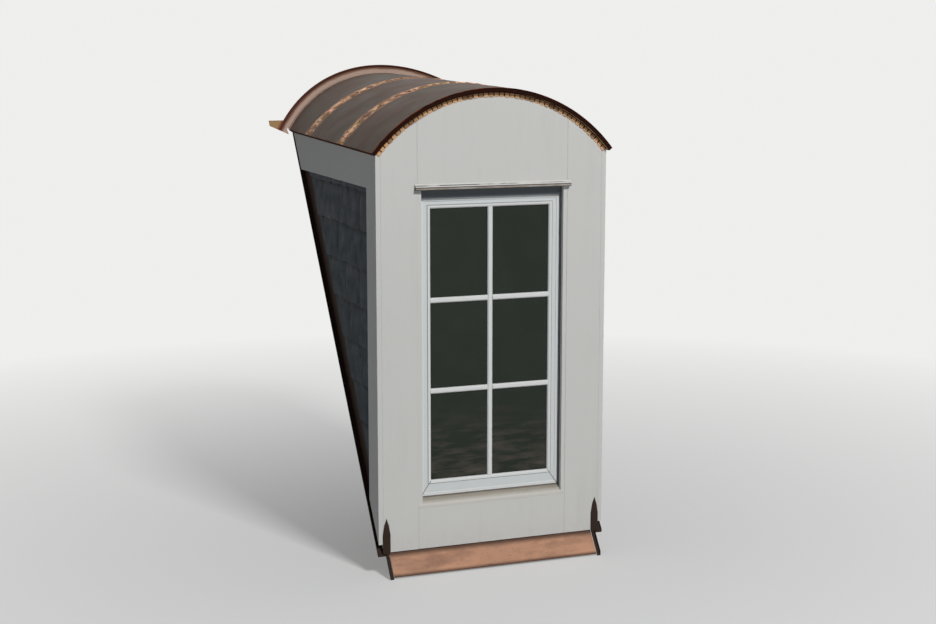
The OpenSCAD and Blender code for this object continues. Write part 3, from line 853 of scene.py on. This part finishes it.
def seam_masks(skin):
    """Tan smears, bright blobs and dark pits along the cross seams, soldered by hand"""
    sizes = bpy.context.scene.dormer_copper
    depth = skin.axis("Y")
    ragged = skin.noise(26.0, 0.30, 0.70, detail=3.0)
    one, two = (abs(depth - (FACE_Y + seam - 0.014)) for seam in (sizes.seam_one, sizes.seam_two))
    above = skin.axis("Z") * SLOPE_UP.z + depth * SLOPE_UP.y
    valley = above.ramp(0.0, 0.12) * 0.09 + 0.055
    edge = maths("MINIMUM", maths("MINIMUM", one, two), valley) + ragged * 0.030
    half = sizes.seam_width / 2
    smear = edge.fall(half - 0.020, half + 0.012)
    inner = edge.fall(half * 0.66, half * 0.86)
    stretch = (1.15, 0.55, 1.15)
    blob = skin.noise(34.0, 0.47, 0.56, detail=2.5, scale=stretch, shift=(3.1, 0.4, 1.7))
    pit = skin.noise(42.0, 0.53, 0.62, detail=2.5, scale=stretch, shift=(0.2, 5.1, 2.3))
    return smear * (ragged * 0.40 + 0.52), inner * blob, smear * pit


def barrel_radius(skin):
    """Distance of a point from the barrel's leaning axis"""
    up = skin.axis("Z") - (skin.axis("Y") - FACE_Y) * LEAN - ARCH_CENTRE.z
    return maths("SQRT", skin.axis("X") ** 2.0 + up ** 2.0)


def paint_rim_highlight(skin):
    """A painted reddish highlight, broken by noise, along the edge's rolled-over top"""
    rim = barrel_radius(skin).ramp(COPPER_R - 0.0035, COPPER_R - 0.0010)
    skin.stain(rim * skin.noise(14.0, 0.36, 0.60), (0.30, 0.085, 0.040))


def stain_apron(skin):
    """Brown streaks across the apron, and painted shade along its lower edge and where it meets the
    face
    """
    skin.stain(skin.noise(16.0, 0.42, 0.68, scale=(0.35, 1, 1)) * 0.55, (0.150, 0.082, 0.060))
    low_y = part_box("apron")[0].y
    foot = skin.axis("Y").fall(low_y + 0.001, low_y + 0.009)
    top = skin.axis("Y").ramp(FACE_Y - 0.010, FACE_Y + 0.002)
    # Painted shade: dark lines along the apron's lower edge and under the face
    skin.stain(maths("MAXIMUM", foot, top) * 0.8, bpy.context.scene.dormer_copper.dark)


def band_flange(skin):
    """Pale by the roof pans, salmon further out, golden ears, and a dark line of painted shadow at
    the hem with a rusty rim
    """
    radius = barrel_radius(skin)
    wobbly = radius + skin.noise(12.0, 0.3, 0.7) * 0.006
    skin.stain(wobbly.fall(COPPER_R + 0.020, COPPER_R + 0.028) * 0.8, (0.52, 0.37, 0.30))
    ear = radius.ramp(COPPER_R + 0.046, COPPER_R + 0.050)
    skin.stain(ear * 0.75, (0.42, 0.26, 0.12))
    # Painted shadow: a dark line along the hem
    hem_shadow = radius.ramp(COPPER_R + 0.026, COPPER_R + 0.030) - ear
    skin.stain(hem_shadow * 0.9, (0.070, 0.020, 0.012))
    rust = radius.ramp(COPPER_R + 0.0405, COPPER_R + 0.0425) - ear
    skin.stain(rust * 0.8, (0.34, 0.110, 0.050))


def lay_grain(skin, grain, colour, *layers):
    """Colours wood: each layer has an output of the grain group, its share and a tint"""
    skin.base = colour
    for output, share, tint in layers:
        skin.stain(grain[output] * share, [part * change for part, change in zip(colour, tint)])


def softwood(name, turn):
    """Rough-sawn framing timber; turn brings the board's length onto the grain's Z"""
    skin = Skin(name, roughness=0.68)
    squeeze = put(skin.tree, "ShaderNodeMapping", Scale=(1, 1, 0.06), Location=(0.35, 0.42, 0.1))
    feed(squeeze.inputs["Vector"], skin.point(turn=turn))
    place = Signal(skin.tree, squeeze.outputs["Vector"])
    grain = skin.group("timber_grain", Vector=place, Ring_Scale=34.0)
    lay_grain(skin, grain, bpy.context.scene.dormer_timber.softwood,
              ("Grain", 1.0, (0.70, 0.60, 0.50)), ("Shade", 0.35, (1.15, 1.18, 1.25)),
              ("Pores", 0.20, (0.45, 0.38, 0.30)))
    skin.roughen(grain["Pores"] * 0.2 + 0.60)
    skin.bump(grain["Grain"] + grain["Pores"], 0.30, 0.0008)
    return skin


def plywood():
    """Sheathing plywood with wide peeled grain"""
    skin = Skin("sheathing_plywood", roughness=0.66)
    place = skin.point(scale=(1, 1, 0.22), shift=(1.3, 0.8, 0))
    grain = skin.group("timber_grain", Vector=place, Ring_Scale=9.0)
    lay_grain(skin, grain, bpy.context.scene.dormer_timber.plywood,
              ("Grain", 1.0, (0.80, 0.72, 0.62)), ("Shade", 0.4, (1.12, 1.12, 1.15)),
              ("Pores", 0.15, (0.4, 0.35, 0.3)))
    skin.roughen(grain["Pores"] * 0.2 + 0.58)
    skin.bump(grain["Pores"], 0.20, 0.0006)


class DORMER_OT_boards(bpy.types.Operator):
    """Painted boards: face, corner boards, friezes and the drip over the window"""

    bl_idname = "dormer.boards"
    bl_label = "Painted boards"

    def execute(self, context):
        board_paint()
        drip_paint()
        for node in nodes_named("front_stile", "front_head", "front_bottom", "corner_board",
                                "frieze", "head_drip"):
            paint = "drip_paint" if node == "head_drip" else "board_paint"
            dress_node(node, "painted_" + node, paint, "painted_board",
                       context.scene.dormer_boards.edge)
        return {"FINISHED"}


class DORMER_OT_window_frame(bpy.types.Operator):
    """Frame with its casing strips, sill, and mitred sash with its rim and bead"""

    bl_idname = "dormer.window_frame"
    bl_label = "Frame and sash"

    def execute(self, context):
        sizes = context.scene.dormer_window
        sash_coating("sash_coating", sizes.paint)
        # A lighter copy of the sash coating: painted light on the raised parts
        sash_coating("bead_coating_with_painted_light", sizes.bead)
        frame_coating_with_painted_shade()
        sill_coating()
        for node in nodes_named("frame_", "sash_"):
            coat = "sash_coating" if node.startswith("sash") else "frame_coating_with_painted_shade"
            dress_node(node, "coated_" + node, "sill_coating" if node == "frame_sill" else coat,
                       "sash_paint", sizes.edge)
        dress(self.rim(sizes), "bead_coating_with_painted_light", "sash_paint")
        dress(self.bead(sizes), "bead_coating_with_painted_light", "sash_paint")
        dress(self.casing(sizes), "board_paint", "painted_board")
        return {"FINISHED"}

    def rim(self, sizes):
        """The raised outer rim of the sash"""
        sunk, proud, rounding = 0.002, 0.003, 0.0022
        piece = add_ring("sash_rim", SASH_HIGH.x, SASH_LOW.z, SASH_HIGH.z, sizes.rim_width,
                         SASH_LOW.y + sunk, SASH_LOW.y - proud)
        ease(piece, rounding, 3)
        return piece

    def bead(self, sizes):
        """The rounded bead that holds the glass"""
        proud, rounding = 0.002, 0.0115
        outer = sizes.bead_width - BEAD_OVERLAP
        front = SASH_LOW.y - proud
        piece = add_ring("glazing_bead", GLASS_HALF + outer, GLASS_LOW_Z - outer,
                         GLASS_HIGH_Z + outer, sizes.bead_width, PANE_LOW.y, front)
        with editing(piece):
            pick(piece, "EDGE", lambda edge: all(
                abs(end.co.y - front) < 1e-5 and abs(end.co.x) < GLASS_HALF
                and GLASS_LOW_Z < end.co.z < GLASS_HIGH_Z for end in edge.verts))
            bpy.ops.mesh.bevel(offset=rounding, segments=5, profile=0.5, affect="EDGES")
        smooth(piece, 30)
        return piece

    def casing(self, sizes):
        """Strips that line the sides of the opening, a little behind the boards' face"""
        shy, below_sash = 0.0012, 0.030
        strips = []
        for side in (-1, 1):
            near, far = sorted((side * OPENING_HALF, side * (OPENING_HALF - sizes.casing_width)))
            strips.append(add_box("strip", (near, FACE_Y + shy, SILL_HIGH_Z - below_sash),
                                  (far, BOARD_BACK_Y, OPENING_TOP_Z)))
        piece = join(strips, "casing_strips")
        keep_side(piece, (0, FACE_Y, SILL_NOSE_Z), (0, -math.sin(WASH), math.cos(WASH)))
        ease(piece, sizes.edge)
        return piece


class DORMER_OT_glazing(bpy.types.Operator):
    """Glass with its bars on both faces, a gasket all round, and a ring of painted shadow beside the
    bead
    """

    bl_idname = "dormer.glazing"
    bl_label = "Glass and bars"

    def execute(self, context):
        sizes = context.scene.dormer_window
        window_glass()
        dress(copy_node("window_glass", "glass_unit"), "dark_glass", "window_pane", "window_glass")
        for side, face_y, out in (("outer", PANE_LOW.y, -1), ("inner", PANE_HIGH.y, 1)):
            bars = self.bars(sizes, face_y, out)
            dress(join(bars, "glazing_bars_" + side), "bead_coating_with_painted_light", "sash_paint")
        dull_rubber("glazing_gasket", (0.02, 0.02, 0.02), (0.07, 0.068, 0.06))
        # The second material is the grey of a painted shadow line, not of a sealant
        dull_rubber("bead_shadow_line", (0.20, 0.21, 0.21), (0.30, 0.30, 0.29))
        shy, width, proud = 0.0018, 0.002, 0.0012
        gasket = add_ring("glazing_gasket", GLASS_HALF - shy, GLASS_LOW_Z + shy, GLASS_HIGH_Z - shy,
                          width, PANE_LOW.y, PANE_LOW.y - proud)
        dress(gasket, "glazing_gasket", "sash_paint")
        # A grey ring of painted shadow beside the bead, where it stands proud of the sash
        width, sunk, proud = 0.0027, 0.001, 0.0003
        out = sizes.bead_width - BEAD_OVERLAP + 0.0026
        shadow_ring = add_ring("bead_shadow_ring", GLASS_HALF + out, GLASS_LOW_Z - out, GLASS_HIGH_Z + out,
                          width, SASH_LOW.y + sunk, SASH_LOW.y - proud)
        dress(shadow_ring, "bead_shadow_line", "sash_paint")
        return {"FINISHED"}

    def bars(self, sizes, face_y, out):
        """One upright bar and the cross bars that butt against it"""
        half = sizes.bar_width / 2
        near, far = sorted((face_y, face_y + out * sizes.bar_depth))
        pieces = [self.bar((-half, near, GLASS_LOW_Z), (half, far, GLASS_HIGH_Z), out)]
        for row in range(1, sizes.rows):
            z = GLASS_LOW_Z + (GLASS_HIGH_Z - GLASS_LOW_Z) * row / sizes.rows
            for x0, x1 in ((-GLASS_HALF, -half), (half, GLASS_HALF)):
                pieces.append(self.bar((x0, near, z - half), (x1, far, z + half), out))
        return pieces

    def bar(self, low, high, out):
        """A bar whose two long outer edges are moulded"""
        moulding = 0.0055
        piece = add_box("bar", low, high)
        face = low[1] if out < 0 else high[1]
        along = 2 if high[2] - low[2] > high[0] - low[0] else 0

        def outer_arris(edge):
            a, b = (end.co for end in edge.verts)
            return (abs(a.y - face) < 1e-5 and abs(b.y - face) < 1e-5
                    and abs(a[along] - b[along]) > 0.01)

        with editing(piece):
            pick(piece, "EDGE", outer_arris)
            bpy.ops.mesh.bevel(offset=moulding, segments=3, profile=0.35, affect="EDGES")
        smooth(piece, 30)
        return piece


class DORMER_OT_cheek_slates(bpy.types.Operator):
    """Slates hung in lapped courses on both cheeks"""

    bl_idname = "dormer.cheek_slates"
    bl_label = "Cheek slates"

    def execute(self, context):
        sizes = context.scene.dormer_slates
        slate_skin()
        pattern = self.pattern(sizes)
        for side, label in ((-1, "left"), (1, "right")):
            rng = random.Random(11 + side)
            slates = [slate for course in range(-3, 7)
                      for slate in self.course(sizes, pattern, course, side, rng)]
            piece = join(slates, "slates_" + label)
            keep_side(piece, SLOPE_UP * sizes.clear, SLOPE_UP)
            keep_side(piece, (0, 0, FRIEZE_LOW_Z - 0.001), (0, 0, -1))
            smooth(piece, 28)
            dress(piece, "split_slate", "cheek_slate", "cheek_slates_" + label)
        discard(pattern)
        return {"FINISHED"}

    def pattern(self, sizes):
        """One slate of unit width and height, standing on the Y axis with its face towards X"""
        let_go()
        bpy.ops.mesh.primitive_grid_add(x_subdivisions=9, y_subdivisions=7, size=1,
                                        location=(0, 0.5, 0.5),
                                        rotation=(math.pi / 2, 0, math.pi / 2))
        piece = bpy.context.object
        piece.name = "slate_pattern"
        freeze(piece)
        with editing(piece):
            bpy.ops.mesh.extrude_region_move(
                TRANSFORM_OT_translate={"value": (sizes.thickness, 0, 0)})
            face_outward()
        return piece

    def course(self, sizes, pattern, number, side, rng):
        """The slates of one course, from the corner board back to the slope"""
        lap, short_of_slope = 0.055, 0.02
        low = STILE_LOW.z + sizes.first + number * sizes.course
        height = sizes.course + lap
        reach = (low + height) / math.tan(SLOPE) - short_of_slope
        slates = []
        start = place = CORNER_BACK_Y + 0.0015
        while place < reach:
            width = rng.uniform(sizes.narrow, sizes.wide)
            if place == start and number % 2:
                width *= 0.55  # staggers the joints of every other course
            if low + height > LOWEST_Z:
                slates.append(self.slate(sizes, pattern, side, rng, place, width, low, height))
            place += width
        return slates

    def slate(self, sizes, pattern, side, rng, place, width, low, height):
        """One slate: cut to size, tilted onto the course below, with broken edges"""
        gap = 0.0016
        drop = rng.uniform(-0.004, 0.004)
        butt_out, head_out = 0.0185 - sizes.thickness, 0.0008
        skew = rng.uniform(-0.003, 0.003)
        lift = rng.uniform(-0.0012, 0.0004)
        seed = rng.random() * 50
        slate = copy_piece(pattern, "slate")
        for vertex in slate.data.vertices:
            x, across, up = vertex.co
            wave = 0.0036 * math.sin(seed + across * 7) + 0.0018 * math.sin(seed * 3 + across * 23)
            ragged = wave * max(0, 1 - up * 6)
            side_wave = 0.0012 * math.sin(seed * 2 + up * 14) if across in (0, 1) else 0
            out = head_out + (butt_out - head_out) * (1 - up) + lift
            chip = 0.0012 if x > 0 and (across < 0.01 or across > 0.99 or up < 0.01) else 0
            vertex.co = (
                side * (SHEATHING_X + out + x - chip),
                place + gap / 2 + across * (width - gap) + side_wave,
                low + drop + up * height + ragged + skew * (across - 0.5),
            )
        set_tone(slate, rng.random())
        if side < 0:
            with editing(slate):
                bpy.ops.mesh.flip_normals()
        return slate


class DORMER_OT_roof_pans(bpy.types.Operator):
    """Three copper pans over the barrel, lapped at two soldered cross seams"""

    bl_idname = "dormer.roof_pans"
    bl_label = "Roof pans"

    def execute(self, context):
        sizes = context.scene.dormer_copper
        scrape_seams(copper_skin("roof_pan_copper", sizes.aged))
        ends = [EDGE_LOW.y + COPPER_T, FACE_Y + sizes.seam_one, FACE_Y + sizes.seam_two,
                DECK_HIGH.y + DECK_PAST]
        for index, name in enumerate(("front", "middle", "rear")):
            sheets = [self.pan(ends[index], ends[index + 1], index)]
            if index:
                sheets.append(self.fold(ends[index], index))
            piece = join(sheets, "pan_" + name)
            lean_back(piece)
            keep_side(piece, SLOPE_UP * 0.0021, SLOPE_UP)
            smooth(piece, 30)
            dress(piece, "roof_pan_copper", "aged_copper", "copper_pan_" + name)
        return {"FINISHED"}

    def pan(self, y0, y1, seed):
        """One sheet, a little uneven where it was dressed down by hand"""
        rows, dent, shy = 14, 0.00045, 0.0006
        piece = sweep_arc("pan", DECK_OUT_R, COPPER_R - shy, y0, y1, EAVE_HALF, 72)
        for row in range(1, rows):
            slice_at(piece, (0, y0 + (y1 - y0) * row / rows, 0), (0, 1, 0))
        for vertex in piece.data.vertices:
            arm, angle = self.arm(vertex)
            if arm.length > DECK_OUT_R + 0.0005:
                wave = (math.sin(angle * 13 + seed * 2) * math.sin(vertex.co.y * 17 + seed)
                        + 0.6 * math.sin(angle * 31 + vertex.co.y * 23))
                vertex.co += arm.normalized() * (wave * dent)
        return piece

    def arm(self, vertex):
        """A point's arm from the barrel's axis, and the arm's angle"""
        arm = Vector((vertex.co.x, 0, vertex.co.z - ARCH_CENTRE.z))
        return arm, math.atan2(arm.x, arm.z)

    def fold(self, y0, seed):
        """The flattened fold of a cross seam, which wanders a little"""
        sunk, proud, width, lap = 0.0008, 0.0024, 0.026, 0.002
        piece = sweep_arc("fold", COPPER_R - sunk, COPPER_R + proud, y0 - width, y0 + lap,
                          EAVE_HALF, 110)
        phase = random.Random(70 + seed).uniform(0, 6)
        for vertex in piece.data.vertices:
            angle = self.arm(vertex)[1]
            slide = 0.0026 * math.sin(angle * 19 + phase) + 0.0016 * math.sin(angle * 47 + phase)
            vertex.co.y += slide
        ease(piece, 0.0011)
        return piece


class DORMER_OT_roof_edges(bpy.types.Operator):
    """Drip edge round the arch with its hems, snipped tabs on the face, drips along the eaves"""

    bl_idname = "dormer.roof_edges"
    bl_label = "Roof edges"

    def execute(self, context):
        # Near-black copper for the drip edge and eave drips: dark aged copper, darkened further as
        # painted shade of the overhang
        paint_rim_highlight(copper_skin("edge_copper_with_painted_shade", (0.024, 0.008, 0.005), bloom=0.15,
                               roughness=0.7, gloss=0.02))
        dress(self.front_edge(), "edge_copper_with_painted_shade", "aged_copper", "arch_drip_edge")
        skin = copper_skin("tab_copper", (0.60, 0.36, 0.19), bloom=0.2)
        # Tone 0 gives dark brown: painted shade on the band that shows in the snips between the tabs;
        # the tabs take random tones
        skin.paint(blend(skin.tone().ramp(0.15, 0.7), (0.060, 0.022, 0.012), skin.base))
        dress(self.tabs(context.scene.dormer_copper), "tab_copper", "bright_copper", "arch_tabs")
        dress_node("eave_drips", "eave_edges", "edge_copper_with_painted_shade", "aged_copper", 0.0006)
        return {"FINISHED"}

    def front_edge(self):
        """The upright leaf of the drip edge, rolled over at its top and turned at its foot"""
        front, steps, roll_t, foot_t = EDGE_LOW.y, 96, 0.006, 0.005
        leaf = sweep_arc("leaf", DECK_IN_R + 0.003, COPPER_R - 0.002, front, EDGE_HIGH.y,
                         EAVE_HALF, steps)
        roll = sweep_arc("roll", COPPER_R - roll_t, COPPER_R, front, front + roll_t,
                         EAVE_HALF, steps)
        foot = sweep_arc("foot", DECK_IN_R, DECK_IN_R + foot_t, front, front + foot_t,
                         EAVE_HALF, steps)
        ease(roll, 0.0022, 3)
        ease(foot, 0.0018, 3)
        edge = join([leaf, roll, foot], "arch_edge")
        lean_back(edge)
        return edge

    def tabs(self, sizes):
        """Each tab bends a little on its own, so that light and dark ones alternate"""
        snip, band_h, band_t, tab_t, below_deck = 0.005, 0.019, 0.0006, 0.0012, 0.004
        half = math.asin(FACE_HALF / DECK_IN_R)
        count = int(2 * half * FACE_RADIUS / sizes.tab_pitch)
        step = 2 * half / count
        width = step * FACE_RADIUS - snip
        rng = random.Random(5)
        band = sweep_arc("band", DECK_IN_R - band_h, DECK_IN_R, FACE_Y - band_t, FACE_Y, half, 80)
        # The band takes tone 0: painted shade in the snips between the tabs
        set_tone(band, 0.0)
        pieces = [band]
        hinge = Vector((0, FACE_Y, ARCH_CENTRE.z + DECK_IN_R - below_deck))
        for index in range(count):
            tab = add_box("tab", (-width / 2, FACE_Y - tab_t, ARCH_CENTRE.z + FACE_RADIUS),
                          (width / 2, FACE_Y, hinge.z))
            tilt = -rng.uniform(0.0, 0.16)
            bend = (Matrix.Translation(hinge) @ Matrix.Rotation(tilt, 4, "X")
                    @ Matrix.Rotation(rng.uniform(-0.05, 0.05), 4, "Y")
                    @ Matrix.Translation(-hinge))
            tab.data.transform(turn_on_arch(-half + (index + 0.5) * step) @ bend)
            set_tone(tab, rng.uniform(0.35, 1.0))
            pieces.append(tab)
        strip = join(pieces, "arch_tab_strip")
        lean_back(strip)
        return strip


class DORMER_OT_flashings(bpy.types.Operator):
    """Rear flange, side flashings and apron"""

    bl_idname = "dormer.flashings"
    bl_label = "Flashings"

    def execute(self, context):
        sizes = context.scene.dormer_copper
        bright, aged = Vector(sizes.bright), Vector(sizes.aged)
        stain_apron(copper_skin("apron_copper", bright * 1.25, bloom=0.25, metallic=0.05))
        band_flange(copper_skin("flange_copper", bright * 0.45, bloom=0.25, metallic=0.05))
        # The side flashings' dark aged copper, darkened further as painted shade
        copper_skin("side_copper_with_painted_shade", aged * 0.30, bloom=0.2, roughness=0.62, gloss=0.04)
        for node, name, skin, slot in (
                ("rear_flange", "valley_flange", "flange_copper", "bright_copper"),
                ("apron", "front_apron", "apron_copper", "bright_copper"),
                ("side_flashing_left", "cheek_flashing_left", "side_copper_with_painted_shade", "aged_copper"),
                ("side_flashing_right", "cheek_flashing_right", "side_copper_with_painted_shade", "aged_copper")):
            dress_node(node, name, skin, slot, 0.0007)
        return {"FINISHED"}


class DORMER_OT_deck_boards(bpy.types.Operator):
    """Narrow deck boards laid side by side over the ribs"""

    bl_idname = "dormer.deck_boards"
    bl_label = "Deck boards"

    def execute(self, context):
        sizes = context.scene.dormer_timber
        count = round(2 * EAVE_HALF * DECK_IN_R / sizes.deck_board)
        step = 2 * EAVE_HALF / count
        gap, shy = 0.0015, 0.0004
        width = 2 * DECK_IN_R * math.sin(step / 2) - gap
        outer = DECK_OUT_R * math.cos(step / 2) - shy
        pattern = add_box("deck_pattern", (-width / 2, DECK_LOW.y, ARCH_CENTRE.z + DECK_IN_R),
                          (width / 2, DECK_HIGH.y + DECK_PAST, ARCH_CENTRE.z + outer))
        ease(pattern, 0.0018, 1)
        rng = random.Random(3)
        boards = []
        for index in range(count):
            board = copy_piece(pattern, "deck_board")
            board.data.transform(turn_on_arch((index + 0.5) * step - EAVE_HALF))
            set_tone(board, rng.random())
            boards.append(board)
        discard(pattern)
        piece = join(boards, "deck_boards")
        lean_back(piece)
        keep_side(piece, (0, 0, 0), SLOPE_UP)
        skin = softwood("deck_softwood", (math.pi / 2, 0, 0))
        skin.stain(skin.tone() * 0.35, (0.30, 0.18, 0.09))
        dress(piece, "deck_softwood", "plywood", "roof_deck")
        return {"FINISHED"}


class DORMER_OT_timber(bpy.types.Operator):
    """Studs, plates, ribs and sheathing of the open back"""

    bl_idname = "dormer.timber"
    bl_label = "Framing and sheathing"

    def execute(self, context):
        for wood, turn, nodes in (
                ("softwood_upright", (0, 0, 0), ("front_studs", "cheek_studs", "front_cripples")),
                ("softwood_across", (0, math.pi / 2, 0),
                 ("front_curb", "window_header", "front_top_plate", "front_rib", "roof_ribs",
                  "valley_nailer")),
                ("softwood_inward", (math.pi / 2, 0, 0), ("cheek_top_plates",)),
                ("softwood_sloping", (math.pi / 2 - SLOPE, 0, 0), ("sole_plates",))):
            softwood(wood, turn)
            for node in nodes:
                dress_node(node, "sawn_" + node, wood, "timber", context.scene.dormer_timber.edge)
        plywood()
        for node in nodes_named("cheek_sheathing", "front_sheathing"):
            dress_node(node, "sheet_" + node, "sheathing_plywood", "plywood", 0.0008, 1)
        return {"FINISHED"}


class DORMER_OT_stage(bpy.types.Operator):
    """Pale floor, soft lights, even surroundings and the camera"""

    bl_idname = "dormer.stage"
    bl_label = "Stage"

    def execute(self, context):
        sizes = context.scene.dormer_stage
        self.floor(sizes)
        self.lights(sizes)
        self.world(sizes)
        self.camera(sizes)
        context.scene.view_settings.view_transform = "Standard"
        return {"FINISHED"}

    def floor(self, sizes):
        """A wide floor just under the lowest edge, which fades into the backdrop"""
        floor = add_sheet("floor", (0, 0, LOWEST_Z - 0.001), (0, 0, 0), 60, 60)
        skin = Skin("pale_floor", roughness=0.85)
        tree = skin.tree
        skin.paint(blend(skin.noise(0.6, 0.2, 0.8), sizes.floor, Vector(sizes.floor) * 0.985))
        away = put(tree, "ShaderNodeVectorMath", operation="LENGTH")
        feed(away.inputs[0], skin.point())
        fade = Signal(tree, away.outputs["Value"]).ramp(-1.5, 6.0) * backdrop_rays(tree)
        pale = put(tree, "ShaderNodeEmission", Color=(*sizes.backdrop, 1), Strength=1.0)
        choose_shader(tree, fade, skin.shader.outputs[0], pale.outputs[0], "Material Output")
        floor.data.materials.append(skin.material)

    def lights(self, sizes):
        """A large key from the front, a little to the right, and a weak fill from the left"""
        for name, watts, size, place in (
                ("key", sizes.key_watts, 3.4, (3.5, -14.9, 14.2)),
                ("fill", sizes.fill_watts, 5.0, (-6.0, -3.0, 3.5))):
            lamp = bpy.data.lights.new(name, "AREA")
            lamp.energy = watts
            lamp.size = size
            self.hang(name, lamp, place, (0, 0.5, 1.0))

    def hang(self, name, data, place, target):
        """Puts a lamp or the camera in its place and aims it"""
        holder = bpy.data.objects.new(name, data)
        bpy.context.scene.collection.objects.link(holder)
        holder.location = place
        aim = Vector(target) - Vector(place)
        holder.rotation_euler = aim.to_track_quat("-Z", "Y").to_euler()
        return holder

    def world(self, sizes):
        """Even light all round; camera, gloss and glass see a paler backdrop"""
        world = bpy.data.worlds.new("studio")
        bpy.context.scene.world = world
        world.use_nodes = True
        tree = world.node_tree
        light = tree.nodes["Background"]
        light.inputs["Color"].default_value = (0.58, 0.80, 1.0, 1)
        light.inputs["Strength"].default_value = sizes.world_strength
        seen = put(tree, "ShaderNodeBackground", Color=(*sizes.backdrop, 1), Strength=1.0)
        choose_shader(tree, backdrop_rays(tree), light.outputs[0], seen.outputs[0], "World Output")

    def camera(self, sizes):
        """The camera at the photograph's place, turned to the dormer"""
        data = bpy.data.cameras.new("view")
        data.lens = sizes.lens
        data.clip_end = 200
        bpy.context.scene.camera = self.hang("view", data, sizes.eye, sizes.target)


class DORMER_PT_panel(bpy.types.Panel):
    """Lists the steps that dress the dormer"""

    bl_idname = "DORMER_PT_panel"
    bl_label = "Dormer window"
    bl_space_type = "VIEW_3D"
    bl_region_type = "UI"
    bl_category = "Dormer"

    def draw(self, context):
        for operator in OPERATORS:
            self.layout.operator(operator.bl_idname)


GROUPS = {
    "dormer_boards": DormerBoards,
    "dormer_window": DormerWindow,
    "dormer_slates": DormerSlates,
    "dormer_copper": DormerCopper,
    "dormer_timber": DormerTimber,
    "dormer_stage": DormerStage,
}

OPERATORS = (
    DORMER_OT_stage,
    DORMER_OT_boards,
    DORMER_OT_window_frame,
    DORMER_OT_glazing,
    DORMER_OT_cheek_slates,
    DORMER_OT_roof_pans,
    DORMER_OT_roof_edges,
    DORMER_OT_flashings,
    DORMER_OT_deck_boards,
    DORMER_OT_timber,
)


def register():
    for name, group in GROUPS.items():
        bpy.utils.register_class(group)
        setattr(bpy.types.Scene, name, bpy.props.PointerProperty(type=group))
    for operator in OPERATORS:
        bpy.utils.register_class(operator)
    bpy.utils.register_class(DORMER_PT_panel)


def unregister():
    bpy.utils.unregister_class(DORMER_PT_panel)
    for operator in reversed(OPERATORS):
        bpy.utils.unregister_class(operator)
    for name, group in GROUPS.items():
        delattr(bpy.types.Scene, name)
        bpy.utils.unregister_class(group)


def main():
    register()
    build_grime_group()
    build_grain_group()
    build_copper_group()
    build_slate_group()
    bpy.ops.dormer.stage()
    bpy.ops.dormer.boards()
    bpy.ops.dormer.window_frame()
    bpy.ops.dormer.glazing()
    bpy.ops.dormer.cheek_slates()
    bpy.ops.dormer.roof_pans()
    bpy.ops.dormer.roof_edges()
    bpy.ops.dormer.flashings()
    bpy.ops.dormer.deck_boards()
    bpy.ops.dormer.timber()


if __name__ == "__main__":
    main()
